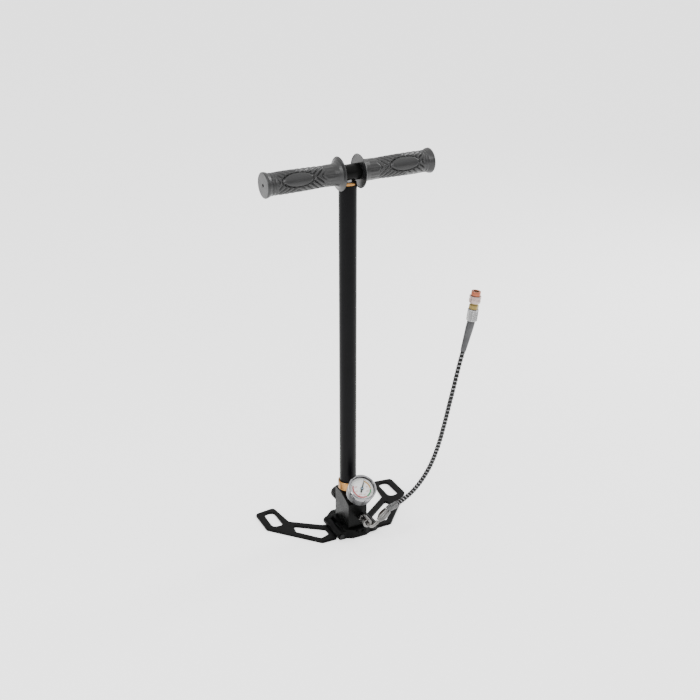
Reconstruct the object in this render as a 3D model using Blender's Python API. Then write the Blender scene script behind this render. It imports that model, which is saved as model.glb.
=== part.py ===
"""Hand-operated three-stage high-pressure stirrup pump with fold-out foot plates.

Frame: origin on the floor under the cylinder's axis, +Z up the cylinder, X along the
handle, -Y towards the pressure gauge. Dimensions are millimetres, built in metres.
"""

import math

import bmesh
import bpy
from mathutils import Matrix, Vector
from mathutils.geometry import tessellate_polygon

MM = 0.001
GAP = 0.3
TURN = 2 * math.pi
ROUND = 32
SMALL_ROUND = 20
SMOOTH_ANGLE = math.radians(35)
CORNER_STEPS = 4

# Cylinder stack, along Z
CYL_R, CYL_BORE_R, CYL_LOW, CYL_HIGH = 14.0, 12.7, 80.3, 602.5
NUT_R, NUT_LOW, NUT_SHELF, NUT_HIGH = 16.6, 73.8, 80.0, 89.0
NUT_SLOTS, NUT_SLOT_DEPTH, NUT_SLOT_W = 6, 1.2, 4.0
GLAND_R, GLAND_LOW, GLAND_HIGH = 13.3, CYL_HIGH + GAP, 607.0
WIPER_OUT, WIPER_LOW = 11.0, 604.9

# Moving piston and the still tube inside it
PISTON_R, PISTON_BORE_R, PISTON_LOW, PISTON_HIGH = 8.8, 7.1, 104.0, 618.7
HEAD_R, HEAD_LOW, HEAD_HIGH, HEAD_STEP = 12.1, 92.3, 108.0, 103.7
HEAD_BORE_R, GROOVE_R, GROOVE_LOW, GROOVE_HIGH = 6.95, 10.4, 97.0, 101.0
SEAL_R = 12.4
STILL_R, STILL_BORE_R, STILL_LOW, STILL_HIGH = 6.6, 3.0, 62.3, 575.0
STAGE_R, STAGE_BORE_R, STAGE_HIGH = 6.75, 2.5, 587.0
STAGE_GROOVE_R, STAGE_GROOVE_LOW, STAGE_GROOVE_HIGH = 5.3, 579.0, 582.0
STAGE_SEAL_R = 6.85
ROD_R, ROD_LOW, ROD_HEAD_R, ROD_HEAD_LOW, ROD_HIGH = 2.0, 88.0, 6.8, 611.0, 616.7
ROD_GROOVE_R, ROD_GROOVE_LOW, ROD_GROOVE_HIGH = 1.5, 91.0, 93.0
ROD_SEAL_R = 2.7

# Handle, along X at this height
HANDLE_Z, BOSS_R, BOSS_X, BAR_R, BAR_X = 620.0, 12.5, 15.9, 10.0, 135.7
BAR_SOCKET_R, BAR_SOCKET_TOP = PISTON_R + GAP, PISTON_HIGH + GAP
GRIP_BORE_R, GRIP_IN, GRIP_OUT, GRIP_HOLE_R, GRIP_WALL = 10.3, 16.2, 140.0, 2.5, 4.0
HANDLE_YAW = math.radians(1.3)
HANDLE_MID = Vector((1.9, 0.0, HANDLE_Z))
FLANGE_R, FLANGE_T, FLANGE_DISH = 26.3, 1.2, 0.6
GRIP_SHAPE = ((19.0, 20.6), (22.5, 17.8), (30.0, 16.5), (45.0, 16.2), (62.0, 16.8),
              (85.0, 17.3), (112.0, 17.4), (124.0, 17.0), (124.8, 16.2), (126.2, 16.2),
              (127.0, 17.0), (129.0, 17.2), (129.6, 16.4), (130.8, 16.4), (131.6, 17.4),
              (136.0, 19.2))
END_R, END_EDGE = 19.5, 0.8

# Pump block: the side outline in (y, z), drawn across X
BLOCK_X, BLOCK_LOW, BLOCK_TOP = 17.0, 16.5, 73.5
BLOCK_BACK, BLOCK_FRONT, BLOCK_BREAK, BLOCK_NOSE = 14.5, -37.5, -10.5, 62.3
BLOCK_EDGE, BLOCK_ROUND, BLOCK_CREST = 1.0, 1.6, 9.0
WELL_R, WELL_LOW, PASSAGE_R, PASSAGE_LOW = 6.9, 60.0, 4.5, 28.0
OUTLET_X, OUTLET_Z, OUTLET_R, OUTLET_DEEP, OUTLET_BORE_R = 6.2, 34.6, 5.3, -28.0, 2.5
BLEED_X, BLEED_Z, BLEED_R, BLEED_SEAT, BLEED_BORE_R, BLEED_END = -7.5, 50.8, 4.9, 3.0, 3.3, -1.0

# Pressure gauge: its face centre and tilt
FACE = Vector((0.6, -53.0, 101.2))
FACE_TILT = math.radians(56.0)
CASE_R, CASE_IN_R, CASE_BACK, CASE_FRONT, CASE_WALL = 22.0, 20.4, -24.0, -1.8, 1.6
BEZEL_R, BEZEL_IN_R, LIP_R, BEZEL_BACK, BEZEL_FRONT = 23.4, 22.3, 19.4, -6.5, 1.8
LENS_R, LENS_T, DIAL_R, DIAL_Z, DIAL_T = 22.0, 1.5, 20.0, -5.6, 0.6
NEEDLE_Z, NEEDLE_T, NEEDLE_LONG, NEEDLE_TAIL, HUB_R = -4.6, 0.6, 15.6, 7.2, 2.2
NEEDLE_REST = math.radians(35.0)
MOVE_BACK, MOVE_FRONT, MOVE_X, MOVE_Y = -19.0, -6.8, 11.0, 7.0
STEM_R, STEM_HOLE_R, STEM_FLAT_R, STEM_NECK_R, STEM_IN = 4.9, 5.2, 7.0, 3.0, 9.0
GAUGE_BORE_R, GAUGE_BORE_DEEP = 1.5, 46.0

# Bleed knob, along Y
KNOB_R, KNOB_NEAR, KNOB_FAR, KNOB_LOBES, KNOB_DENT = 11.0, 16.5, 30.0, 20, 0.7
STEM_BLEED_R, RING_OUT, RING_NEAR, RING_FAR = 3.0, 4.6, 6.0, 8.0

# Base casting and its lugs
BASE_TOP, LOOP_TOP, BASE_BEVEL = 16.2, 5.0, 1.2
BASE_OUTLINE = ((12.5, -44.3), (24.5, -38.2), (24.5, 16.4), (-24.5, 16.4),
                (-24.5, -38.2), (-12.5, -44.3))
LOOP_OUTLINE = ((31.0, 12.0), (31.6, 17.0), (29.0, 29.0), (11.5, 44.8),
                (-11.5, 44.8), (-29.0, 29.0), (-31.6, 17.0), (-31.0, 12.0))
LOOP_HOLE = ((20.0, 17.5), (19.0, 25.0), (8.5, 35.5), (-8.5, 35.5), (-19.0, 25.0), (-20.0, 17.5))
LOOP_ROUND, LOOP_HOLE_ROUND, BASE_ROUND = 4.0, 3.0, 3.0
SLIT_X, SLIT_W, SLIT_FRONT, SLIT_BACK = 20.0, 4.0, -22.0, -11.0
HINGE_X, HINGE_Z, LUG_R, BARREL_R, PIN_R, PIN_HOLE_R = 31.0, 7.0, 7.0, 6.7, 2.5, 2.8
LUG_FRONT, LUG_FRONT_IN, LUG_BACK_IN, LUG_BACK = -39.6, -31.0, 10.0, 18.5
LUG_FOOT_X = 22.5
BARREL_FRONT, BARREL_BACK = LUG_FRONT_IN + GAP, LUG_BACK_IN - GAP
PIN_HEAD_R, PIN_HEAD_T = 4.0, 1.6
SCREW_YS = (-25.0, 6.4)
SCREW_R, SCREW_HOLE_R, SCREW_HEAD_R, SCREW_SINK_R = 2.5, 2.8, 4.5, 4.9
SCREW_LOW, SCREW_SEAT, SCREW_SINK, SCREW_TOP, SCREW_DEEP = 1.5, 5.5, 5.8, 25.0, 25.6
APRON_Y, APRON_HEAD_R, APRON_HEAD_T, APRON_R, APRON_DEEP = -44.3, 3.0, 1.8, 1.5, 7.0
APRON_SCREWS = (("left", -3.5, 12.0), ("right", 7.0, 8.5))

# Foot plate, right-hand side; the left one is its mirror image
PLATE_T, PLATE_BEVEL, PLATE_ROUND, PLATE_CLEAR = 4.2, 1.2, 7.0, 38.6
PLATE_TIP = ((64.5, -35.0), (133.0, 41.0), (132.8, 93.0), (96.5, 97.5), (89.5, 46.0), (44.5, 12.2))
PLATE_FRONT = -35.0
TIP_SLOT = ((102.0, 40.5), (120.6, 42.5), (120.0, 86.0), (102.0, 86.0))
WINDOW = ((88.5, 31.0), (91.5, 11.5), (61.5, -23.5), (44.2, -17.5), (44.2, -2.3))
SLOT_ROUND, WINDOW_ROUND = 8.0, 4.0

# Outlet, hose and coupler; the hose lies in the plane y = HOSE_Y
HOSE_Y, HOSE_R = -72.0, 4.4
ADAPTER_R, ADAPTER_NEAR, ADAPTER_FAR, ADAPTER_NECK_R = 6.9, -37.8, -44.5, 5.2
SPIGOT_R, SPIGOT_END = 5.0, -29.0
OUT_NUT_R, OUT_NUT_NEAR, OUT_NUT_FAR, OUT_NUT_LOBES, OUT_NUT_DENT = 7.6, -47.0, -61.0, 18, 0.5
ELBOW_R, ELBOW_HOLE_R = 2.9, 3.2
ELBOW_ROUTE = ((6.2, -47.6, 34.6), (6.2, -60.0, 34.6), (6.6, -66.5, 34.3), (8.6, -70.8, 34.4),
               (12.6, -72.0, 36.2), (16.6, -72.0, 39.0), (20.0, -72.0, 42.0))
FERRULE_FROM, FERRULE_TO = Vector((20.6, -72.0, 42.5)), Vector((37.6, -72.0, 58.4))
FERRULE_SHAPE = ((0.0, 3.6), (3.0, 5.2), (7.5, 7.4), (11.0, 7.9), (16.0, 7.5), (23.0, 6.4))
SLEEVE_R = 5.6
SLEEVE_ROUTE = ((37.9, -72.0, 58.7), (40.3, -72.0, 60.7), (44.0, -72.0, 61.7), (49.5, -72.0, 63.1),
                (55.3, -72.0, 65.3))
HOSE_ROUTE = ((55.9, 65.55), (66.0, 69.9), (85.2, 82.4), (103.0, 101.6), (118.2, 126.0),
              (130.1, 156.4), (139.8, 191.4), (147.9, 226.3), (154.8, 255.2), (161.1, 283.8),
              (166.2, 304.8), (170.2, 320.0))
TAIL_FROM, TAIL_TO, TAIL_R0, TAIL_R1 = Vector((170.3, -72.0, 320.4)), Vector((183.3, -72.0, 370.0)), 4.4, 6.6
COUPLER_FROM, COUPLER_TILT = Vector((183.8, -72.0, 372.0)), math.radians(7.6)
CFERRULE_R, CFERRULE_L = 8.8, 19.5
BRASS_R, BRASS_FROM, BRASS_TO, BRASS_SIDES = 8.0, 19.8, 27.0, 6
STOCK_R, STOCK_TO, SOCKET_R, SOCKET_FROM = 5.9, 47.4, 4.4, 31.0
COLLAR_R, COLLAR_IN_R, COLLAR_FROM, COLLAR_TO = 9.6, 6.2, 30.2, 42.0
CAP_R, CAP_FROM, CAP_TO, CAP_LIP, CAP_MOUTH_R = 7.7, 42.4, 49.6, 47.8, 4.6
CSEAL_OUT, CSEAL_IN, CSEAL_FROM, CSEAL_TO = 4.1, 2.4, 31.3, 33.3

# Non-return valve inside the block
BALL_R, BALL_Z = 3.9, 54.5
SPRING_R, SPRING_WIRE, SPRING_LOW, SPRING_HIGH, SPRING_TURNS, SPRING_STEPS = 3.1, 0.4, 29.0, 49.8, 7, 12

BLACK, INK = (0.014, 0.014, 0.015), (0.004, 0.004, 0.004)
STEEL, SILVER, BRIGHT = (0.55, 0.55, 0.56), (0.62, 0.6, 0.57), (0.72, 0.72, 0.73)
BRASS, COPPER, RUBBER = (0.62, 0.42, 0.18), (0.62, 0.28, 0.16), (0.045, 0.045, 0.048)
WHITE, CLEAR = (0.86, 0.86, 0.84), (0.9, 0.95, 0.95)


def clear_scene():
    for obj in list(bpy.data.objects):
        bpy.data.objects.remove(obj, do_unlink=True)


def material_for(name, colour, metallic, roughness):
    mat = bpy.data.materials.new(name)
    mat.use_nodes = True
    shader = mat.node_tree.nodes["Principled BSDF"]
    shader.inputs["Base Color"].default_value = (*colour, 1.0)
    shader.inputs["Metallic"].default_value = metallic
    shader.inputs["Roughness"].default_value = roughness
    return mat


def finish(name, mesh, look, origin):
    """Puts the mesh in the scene, in metres, with its origin at `origin`."""
    mesh.transform(Matrix.Scale(MM, 4) @ Matrix.Translation(-Vector(origin)))
    obj = bpy.data.objects.new(name, mesh)
    obj.location = Vector(origin) * MM
    bpy.context.scene.collection.objects.link(obj)
    mesh.materials.clear()
    mesh.materials.append(material_for(name, *look))
    return obj


def from_bmesh(bm):
    bmesh.ops.recalc_face_normals(bm, faces=bm.faces)
    mesh = bpy.data.meshes.new("solid")
    bm.to_mesh(mesh)
    bm.free()
    mesh.shade_smooth()
    mesh.set_sharp_from_angle(angle=SMOOTH_ANGLE)
    return mesh


def frame_at(origin, z_axis, x_axis):
    """The matrix whose local Z runs along z_axis from origin, with local X near x_axis."""
    z = Vector(z_axis).normalized()
    x = Vector(x_axis)
    x = (x - z * x.dot(z)).normalized()
    y = z.cross(x)
    rot = Matrix((x, y, z)).transposed().to_4x4()
    return Matrix.Translation(Vector(origin)) @ rot


def turned(profile, frame, segments):
    """A solid of revolution: a closed loop of (radius, height) turned about local Z."""
    bm = bmesh.new()
    rings = []
    for radius, height in profile:
        if radius < GAP * MM:
            rings.append([bm.verts.new((0, 0, height))] * segments)
            continue
        rings.append([bm.verts.new((radius * math.cos(TURN * k / segments),
                                    radius * math.sin(TURN * k / segments), height))
                      for k in range(segments)])
    for low, high in zip(rings, rings[1:] + rings[:1]):
        for k in range(segments):
            j = (k + 1) % segments
            corners = list(dict.fromkeys((low[k], low[j], high[j], high[k])))
            if len(corners) > 2:
                bm.faces.new(corners)
    bm.transform(frame)
    return from_bmesh(bm)


def tube_profile(inner, outer, low, high, edge=0.0):
    """A ring's section with small chamfers on its outer edges."""
    return ((inner, low), (outer - edge, low), (outer, low + edge),
            (outer, high - edge), (outer - edge, high), (inner, high))


def rod_profile(radius, low, high, edge=0.0):
    return ((0, low), (radius - edge, low), (radius, low + edge),
            (radius, high - edge), (radius - edge, high), (0, high))


def rounded(points, radius):
    """The polygon with each corner replaced by an arc, its radius limited by the sides."""
    out = []
    count = len(points)
    for i in range(count):
        before, here, after = (Vector(points[(i + k) % count]) for k in (-1, 0, 1))
        a, b = before - here, after - here
        half = a.angle(b) / 2
        cut = min(radius / math.tan(half), a.length / 2.05, b.length / 2.05)
        start, end = here + a.normalized() * cut, here + b.normalized() * cut
        for k in range(CORNER_STEPS + 1):
            t = k / CORNER_STEPS
            out.append(start * (1 - t) ** 2 + here * 2 * t * (1 - t) + end * t ** 2)
    return out


def offset(loop, distance):
    """Moves a loop sideways: positive is outwards for an anticlockwise loop."""
    out = []
    count = len(loop)
    for i in range(count):
        a = (loop[i] - loop[i - 1]).normalized()
        b = (loop[(i + 1) % count] - loop[i]).normalized()
        na, nb = Vector((a.y, -a.x)), Vector((b.y, -b.x))
        out.append(loop[i] + (na + nb) / (1 + na.dot(nb)) * distance)
    return out


def area(loop):
    return sum(loop[i - 1].cross(loop[i]) for i in range(len(loop))) / 2


def plate(outline, holes, low, high, frame, edge_low=0.0, edge_high=0.0):
    """A flat piece from `low` to `high` along local Z, with chamfered rims and holes."""
    loops = [[Vector(p) for p in loop] for loop in (outline, *holes)]
    for i, loop in enumerate(loops):
        if (area(loop) > 0) != (i == 0):
            loop.reverse()
    levels = [(low, -edge_low), (low + edge_low, 0.0), (high - edge_high, 0.0), (high, -edge_high)]
    levels = [lv for i, lv in enumerate(levels) if i == 0 or lv != levels[i - 1]]
    bm = bmesh.new()
    layers = []
    for height, inset in levels:
        moved = [offset(loop, inset) for loop in loops]
        layers.append([[bm.verts.new((p.x, p.y, height)) for p in loop] for loop in moved])
    for lower, upper in zip(layers, layers[1:]):
        for under, over in zip(lower, upper):
            for i in range(len(under)):
                bm.faces.new((under[i - 1], under[i], over[i], over[i - 1]))
    for layer in (layers[0], layers[-1]):
        verts = [v for loop in layer for v in loop]
        flat = [[Vector((v.co.x, v.co.y, 0)) for v in loop] for loop in layer]
        for tri in tessellate_polygon(flat):
            bm.faces.new([verts[i] for i in tri])
    bm.transform(frame)
    return from_bmesh(bm)


def joined(mesh, others, operation):
    """Applies each other mesh to the first with an exact Boolean, and drops it."""
    base = bpy.data.objects.new("work", mesh)
    bpy.context.scene.collection.objects.link(base)
    for other in others:
        tool = bpy.data.objects.new("tool", other)
        tool.hide_render = True
        tool.display_type = "WIRE"
        bpy.context.scene.collection.objects.link(tool)
        step = base.modifiers.new("step", "BOOLEAN")
        step.operation = operation
        step.solver = "EXACT"
        step.object = tool
        bpy.context.view_layer.update()
        graph = bpy.context.evaluated_depsgraph_get()
        result = bpy.data.meshes.new_from_object(base.evaluated_get(graph))
        base.modifiers.remove(step)
        base.data = result
        bpy.data.objects.remove(tool, do_unlink=True)
    result = base.data
    bpy.data.objects.remove(base, do_unlink=True)
    result.set_sharp_from_angle(angle=SMOOTH_ANGLE)
    return result


def cut(mesh, *tools):
    return joined(mesh, tools, "DIFFERENCE")


def fused(mesh, *others):
    return joined(mesh, others, "UNION")


def smooth_route(points, spacing):
    """Evenly spread points on a smooth curve through the route points."""
    route = [Vector(p) for p in points]
    ends = [route[0] * 2 - route[1], *route, route[-1] * 2 - route[-2]]
    dense = []
    fine = 40
    for i in range(1, len(ends) - 2):
        p0, p1, p2, p3 = ends[i - 1:i + 3]
        for k in range(fine):
            t = k / fine
            dense.append(0.5 * (2 * p1 + (p2 - p0) * t + (2 * p0 - 5 * p1 + 4 * p2 - p3) * t * t
                                + (3 * p1 - p0 - 3 * p2 + p3) * t ** 3))
    dense.append(route[-1])
    lengths = [0.0]
    for a, b in zip(dense, dense[1:]):
        lengths.append(lengths[-1] + (b - a).length)
    count = max(3, round(lengths[-1] / spacing))
    out = []
    j = 0
    for k in range(count + 1):
        want = lengths[-1] * k / count
        while j < len(dense) - 2 and lengths[j + 1] < want:
            j += 1
        part = (want - lengths[j]) / (lengths[j + 1] - lengths[j])
        out.append(dense[j].lerp(dense[j + 1], part))
    return out


def wire(name, points, radius, look, origin=(0, 0, 0), resolution=3):
    """A round bar along a line of points, as a curve with filled ends."""
    curve = bpy.data.curves.new(name, "CURVE")
    curve.dimensions = "3D"
    curve.bevel_depth = radius * MM
    curve.bevel_resolution = resolution
    curve.use_fill_caps = True
    spline = curve.splines.new("POLY")
    spline.points.add(len(points) - 1)
    for point, place in zip(spline.points, points):
        point.co = (*((Vector(place) - Vector(origin)) * MM), 1.0)
        point.radius = 1.0
    obj = bpy.data.objects.new(name, curve)
    obj.location = Vector(origin) * MM
    bpy.context.scene.collection.objects.link(obj)
    curve.materials.append(material_for(name, *look))
    return obj


def lobed(radius, dent, lobes):
    """A knurled rim: a circle whose radius dips between the lobes."""
    steps = lobes * 4
    return [((radius - dent * (k % 4 > 1)) * math.cos(TURN * k / steps),
             (radius - dent * (k % 4 > 1)) * math.sin(TURN * k / steps)) for k in range(steps)]


def circle(radius, segments=SMALL_ROUND):
    return [(radius * math.cos(TURN * k / segments), radius * math.sin(TURN * k / segments))
            for k in range(segments)]


def ngon(radius, sides):
    return rounded(circle(radius, sides), radius / sides)


def box(x0, x1, y0, y1, z0, z1):
    return plate(((x0, y0), (x1, y0), (x1, y1), (x0, y1)), (), z0, z1, Matrix.Identity(4))


def bar(radius, start, end, segments=ROUND):
    """A plain cylinder between two points."""
    line = Vector(end) - Vector(start)
    side = (1, 0, 0) if abs(line.normalized().x) < 0.9 else (0, 1, 0)
    return turned(rod_profile(radius, 0, line.length), frame_at(start, line, side), segments)


UP = Matrix.Identity(4)
METAL_BLACK, SATIN_BLACK = (BLACK, 0.0, 0.3), (BLACK, 0.0, 0.42)


def hinge_lug(side, near, far):
    """An ear round the hinge pin, drawn across Y, with a foot that reaches into the casting."""
    arc = [math.radians(a) for a in range(-90, 91, 15)]
    crown = [(HINGE_X + LUG_R * math.cos(a), HINGE_Z + LUG_R * math.sin(a)) for a in arc]
    outline = [(LUG_FOOT_X, 0.0), *crown,
               (LUG_FOOT_X, HINGE_Z + LUG_R)]
    across = frame_at((0, 0, 0), (0, -1, 0), (1, 0, 0))
    return plate([(side * x, z) for x, z in outline], (), -far, -near, across)


def build_base():
    body = plate(rounded(BASE_OUTLINE, BASE_ROUND), (), 0, BASE_TOP, UP, 0.0, BASE_BEVEL)
    loop = plate(rounded(LOOP_OUTLINE, LOOP_ROUND), (rounded(LOOP_HOLE, LOOP_HOLE_ROUND),),
                 0, LOOP_TOP, UP, 0.0, BASE_BEVEL)
    rooms, ears, holes = [], [], []
    for side in (-1, 1):
        room = sorted((side * (HINGE_X - LUG_R - GAP - 0.6), side * (HINGE_X + LUG_R + 1)))
        rooms.append(box(*room, LUG_FRONT_IN, LUG_BACK_IN, -1, BASE_TOP + 1))
        ears += [hinge_lug(side, LUG_FRONT, LUG_FRONT_IN), hinge_lug(side, LUG_BACK_IN, LUG_BACK)]
        holes.append(bar(PIN_HOLE_R, (side * HINGE_X, LUG_FRONT - 1, HINGE_Z),
                         (side * HINGE_X, LUG_BACK + 1, HINGE_Z), SMALL_ROUND))
        slit = [(side * SLIT_X + x, y) for x, y in ((-SLIT_W / 2, SLIT_FRONT), (SLIT_W / 2, SLIT_FRONT),
                                                    (SLIT_W / 2, SLIT_BACK), (-SLIT_W / 2, SLIT_BACK))]
        rooms.append(plate(rounded(slit, SLIT_W / 2), (), -1, BASE_TOP + 1, UP))
    for y in SCREW_YS:
        step = ((0, -1), (SCREW_SINK_R, -1), (SCREW_SINK_R, SCREW_SINK), (SCREW_HOLE_R, SCREW_SINK),
                (SCREW_HOLE_R, BASE_TOP + 1), (0, BASE_TOP + 1))
        rooms.append(turned(step, Matrix.Translation((0, y, 0)), SMALL_ROUND))
    for _, x, z in APRON_SCREWS:
        rooms.append(bar(APRON_R + GAP, (x, APRON_Y - 1, z), (x, APRON_Y + APRON_DEEP + GAP, z), SMALL_ROUND))
    shell = fused(cut(body, *rooms), loop, *ears)
    finish("base_casting", cut(shell, *holes), METAL_BLACK, (0, 0, 0))


def build_base_screws():
    for name, y in zip(("front", "rear"), SCREW_YS):
        shape = ((0, SCREW_LOW), (SCREW_HEAD_R, SCREW_LOW), (SCREW_HEAD_R, SCREW_SEAT),
                 (SCREW_R, SCREW_SEAT), (SCREW_R, SCREW_TOP), (0, SCREW_TOP))
        finish(f"base_screw_{name}", turned(shape, frame_at((0, y, 0), (0, 0, 1), (1, 0, 0)), SMALL_ROUND),
               (STEEL, 1.0, 0.35), (0, y, SCREW_LOW))
    for name, x, z in APRON_SCREWS:
        head = APRON_Y - GAP
        shape = ((0, -APRON_HEAD_T + 1), (APRON_HEAD_R / 2, -APRON_HEAD_T + 1),
                 (APRON_HEAD_R / 2, -APRON_HEAD_T),
                 (APRON_HEAD_R - GAP, -APRON_HEAD_T), (APRON_HEAD_R, -APRON_HEAD_T + GAP), (APRON_HEAD_R, 0),
                 (APRON_R, 0), (APRON_R, APRON_DEEP), (0, APRON_DEEP))
        inward = frame_at((x, head, z), (0, 1, 0), (1, 0, 0))
        finish(f"apron_screw_{name}", turned(shape, inward, SMALL_ROUND),
               (BLACK, 0.0, 0.35), (x, head, z))


def foot_outline(side):
    inner = ((HINGE_X, BARREL_FRONT), (PLATE_CLEAR, BARREL_FRONT), (PLATE_CLEAR, PLATE_FRONT))
    tail = ((PLATE_CLEAR, BARREL_BACK), (HINGE_X, BARREL_BACK))
    tip = rounded(((PLATE_CLEAR, PLATE_FRONT), *PLATE_TIP, (PLATE_CLEAR, BARREL_BACK)), PLATE_ROUND)
    tip = tip[CORNER_STEPS + 1:-(CORNER_STEPS + 1)]
    points = [Vector(p) for p in inner] + list(tip) + [Vector(p) for p in tail]
    return [(side * p[0], p[1]) for p in points]


def build_foot(name, side):
    holes = [[(side * p[0], p[1]) for p in rounded(shape, radius)]
             for shape, radius in ((TIP_SLOT, SLOT_ROUND), (WINDOW, WINDOW_ROUND))]
    mesh = plate(foot_outline(side), holes, 0, PLATE_T, UP, 0.0, PLATE_BEVEL)
    barrel = bar(BARREL_R, (side * HINGE_X, BARREL_FRONT, HINGE_Z), (side * HINGE_X, BARREL_BACK, HINGE_Z))
    near, far = (side * HINGE_X, LUG_FRONT, HINGE_Z), (side * HINGE_X, LUG_BACK, HINGE_Z)
    hole = bar(PIN_HOLE_R, near, far, SMALL_ROUND)
    finish(f"foot_plate_{name}", cut(fused(mesh, barrel), hole), METAL_BLACK,
           (side * HINGE_X, BARREL_FRONT, HINGE_Z))
    start = LUG_FRONT - GAP - PIN_HEAD_T
    shape = ((0, 0), (PIN_HEAD_R - GAP, 0), (PIN_HEAD_R, GAP), (PIN_HEAD_R, PIN_HEAD_T), (PIN_R, PIN_HEAD_T),
             (PIN_R, LUG_BACK - start), (0, LUG_BACK - start))
    place = (side * HINGE_X, start, HINGE_Z)
    finish(f"hinge_pin_{name}", turned(shape, frame_at(place, (0, 1, 0), (1, 0, 0)), SMALL_ROUND),
           (STEEL, 1.0, 0.35), place)


def gauge_frame():
    normal = Vector((0, -math.cos(FACE_TILT), math.sin(FACE_TILT)))
    return frame_at(FACE, normal, (1, 0, 0)), normal


def stem_length(normal):
    """Distance from the gauge face, back along its axis, to the block's sloping top."""
    slope = Vector((0, BLOCK_NOSE - BLOCK_TOP, BLOCK_BREAK - BLOCK_FRONT)).normalized()
    on_slope = Vector((0, BLOCK_FRONT, BLOCK_NOSE))
    return (FACE - on_slope).dot(slope) / normal.dot(slope)


def build_block():
    outline = [(BLOCK_FRONT, BLOCK_LOW), (BLOCK_BACK, BLOCK_LOW), (BLOCK_BACK, BLOCK_TOP),
               (BLOCK_BREAK + BLOCK_CREST, BLOCK_TOP), (BLOCK_BREAK, BLOCK_TOP - BLOCK_ROUND / 2),
               (BLOCK_FRONT, BLOCK_NOSE)]
    across = frame_at((0, 0, 0), (1, 0, 0), (0, 1, 0))
    mesh = plate(rounded(outline, BLOCK_ROUND), (), -BLOCK_X, BLOCK_X, across, BLOCK_EDGE, BLOCK_EDGE)
    _, normal = gauge_frame()
    seat = FACE - normal * stem_length(normal)
    tools = [bar(WELL_R, (0, 0, WELL_LOW), (0, 0, BLOCK_TOP + 1)),
             bar(PASSAGE_R, (0, 0, PASSAGE_LOW), (0, 0, WELL_LOW + 1), SMALL_ROUND),
             bar(OUTLET_R, (OUTLET_X, BLOCK_FRONT - 1, OUTLET_Z), (OUTLET_X, OUTLET_DEEP, OUTLET_Z),
                 SMALL_ROUND),
             bar(OUTLET_BORE_R, (OUTLET_X, OUTLET_DEEP - 1, OUTLET_Z), (OUTLET_X, 0, OUTLET_Z), SMALL_ROUND),
             bar(BLEED_R, (BLEED_X, BLEED_SEAT, BLEED_Z), (BLEED_X, BLOCK_BACK + 1, BLEED_Z), SMALL_ROUND),
             bar(BLEED_BORE_R, (BLEED_X, BLEED_END, BLEED_Z), (BLEED_X, BLEED_SEAT + 1, BLEED_Z),
                 SMALL_ROUND),
             bar(STEM_HOLE_R, seat - normal * (STEM_IN + 1), seat + normal * 4, SMALL_ROUND),
             bar(GAUGE_BORE_R, seat - normal * GAUGE_BORE_DEEP, seat - normal * STEM_IN, SMALL_ROUND)]
    tools += [bar(SCREW_HOLE_R, (0, y, BLOCK_LOW - 1), (0, y, SCREW_DEEP), SMALL_ROUND) for y in SCREW_YS]
    finish("pump_block", cut(mesh, *tools), METAL_BLACK, (0, 0, BLOCK_LOW))


def build_valve():
    steps = 8
    arc = [(BALL_R * math.cos(math.pi * (k / steps - 0.5)), BALL_R * math.sin(math.pi * (k / steps - 0.5)))
           for k in range(steps + 1)]
    arc[0], arc[-1] = (0, -BALL_R), (0, BALL_R)
    centre = (0, 0, BALL_Z)
    upright = frame_at(centre, (0, 0, 1), (1, 0, 0))
    finish("check_valve_ball", turned(arc, upright, 16), (BRIGHT, 1.0, 0.15), centre)
    count = SPRING_TURNS * SPRING_STEPS
    coil = [(SPRING_R * math.cos(TURN * k / SPRING_STEPS), SPRING_R * math.sin(TURN * k / SPRING_STEPS),
             SPRING_LOW + (SPRING_HIGH - SPRING_LOW) * k / count) for k in range(count + 1)]
    wire("check_valve_spring", coil[:78], SPRING_WIRE, (STEEL, 1.0, 0.3), (0, 0, SPRING_LOW), 1)


def build_cylinder():
    nut = ((WELL_R, NUT_LOW), (NUT_R - 1, NUT_LOW), (NUT_R, NUT_LOW + 1), (NUT_R, NUT_HIGH - 1),
           (NUT_R - 1, NUT_HIGH), (CYL_R + GAP, NUT_HIGH), (CYL_R + GAP, NUT_SHELF), (WELL_R, NUT_SHELF))
    slots = []
    for k in range(NUT_SLOTS):
        spin = Matrix.Rotation(TURN * (k + 0.5) / NUT_SLOTS, 4, "Z")
        tool = box(NUT_R - NUT_SLOT_DEPTH, NUT_R + 2, -NUT_SLOT_W / 2, NUT_SLOT_W / 2,
                   NUT_LOW + 3, NUT_HIGH - 3)
        tool.transform(spin)
        slots.append(tool)
    finish("lower_nut", cut(turned(nut, UP, ROUND), *slots), (BRASS, 1.0, 0.28), (0, 0, NUT_LOW))
    tube = tube_profile(CYL_BORE_R, CYL_R, CYL_LOW, CYL_HIGH, GAP)
    finish("outer_cylinder", turned(tube, UP, ROUND), SATIN_BLACK, (0, 0, CYL_LOW))
    gland = ((PISTON_R + GAP, GLAND_LOW), (GLAND_R, GLAND_LOW), (GLAND_R, GLAND_HIGH - 1.2),
             (GLAND_R - 1.2, GLAND_HIGH), (WIPER_OUT + GAP, GLAND_HIGH), (WIPER_OUT + GAP, WIPER_LOW - GAP),
             (PISTON_R + GAP, WIPER_LOW - GAP))
    finish("top_gland", turned(gland, UP, ROUND), (BRASS, 1.0, 0.25), (0, 0, GLAND_LOW))
    wiper = tube_profile(PISTON_R + GAP, WIPER_OUT, WIPER_LOW, GLAND_HIGH, GAP)
    finish("gland_wiper", turned(wiper, UP, SMALL_ROUND), (INK, 0.0, 0.6), (0, 0, WIPER_LOW))


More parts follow.
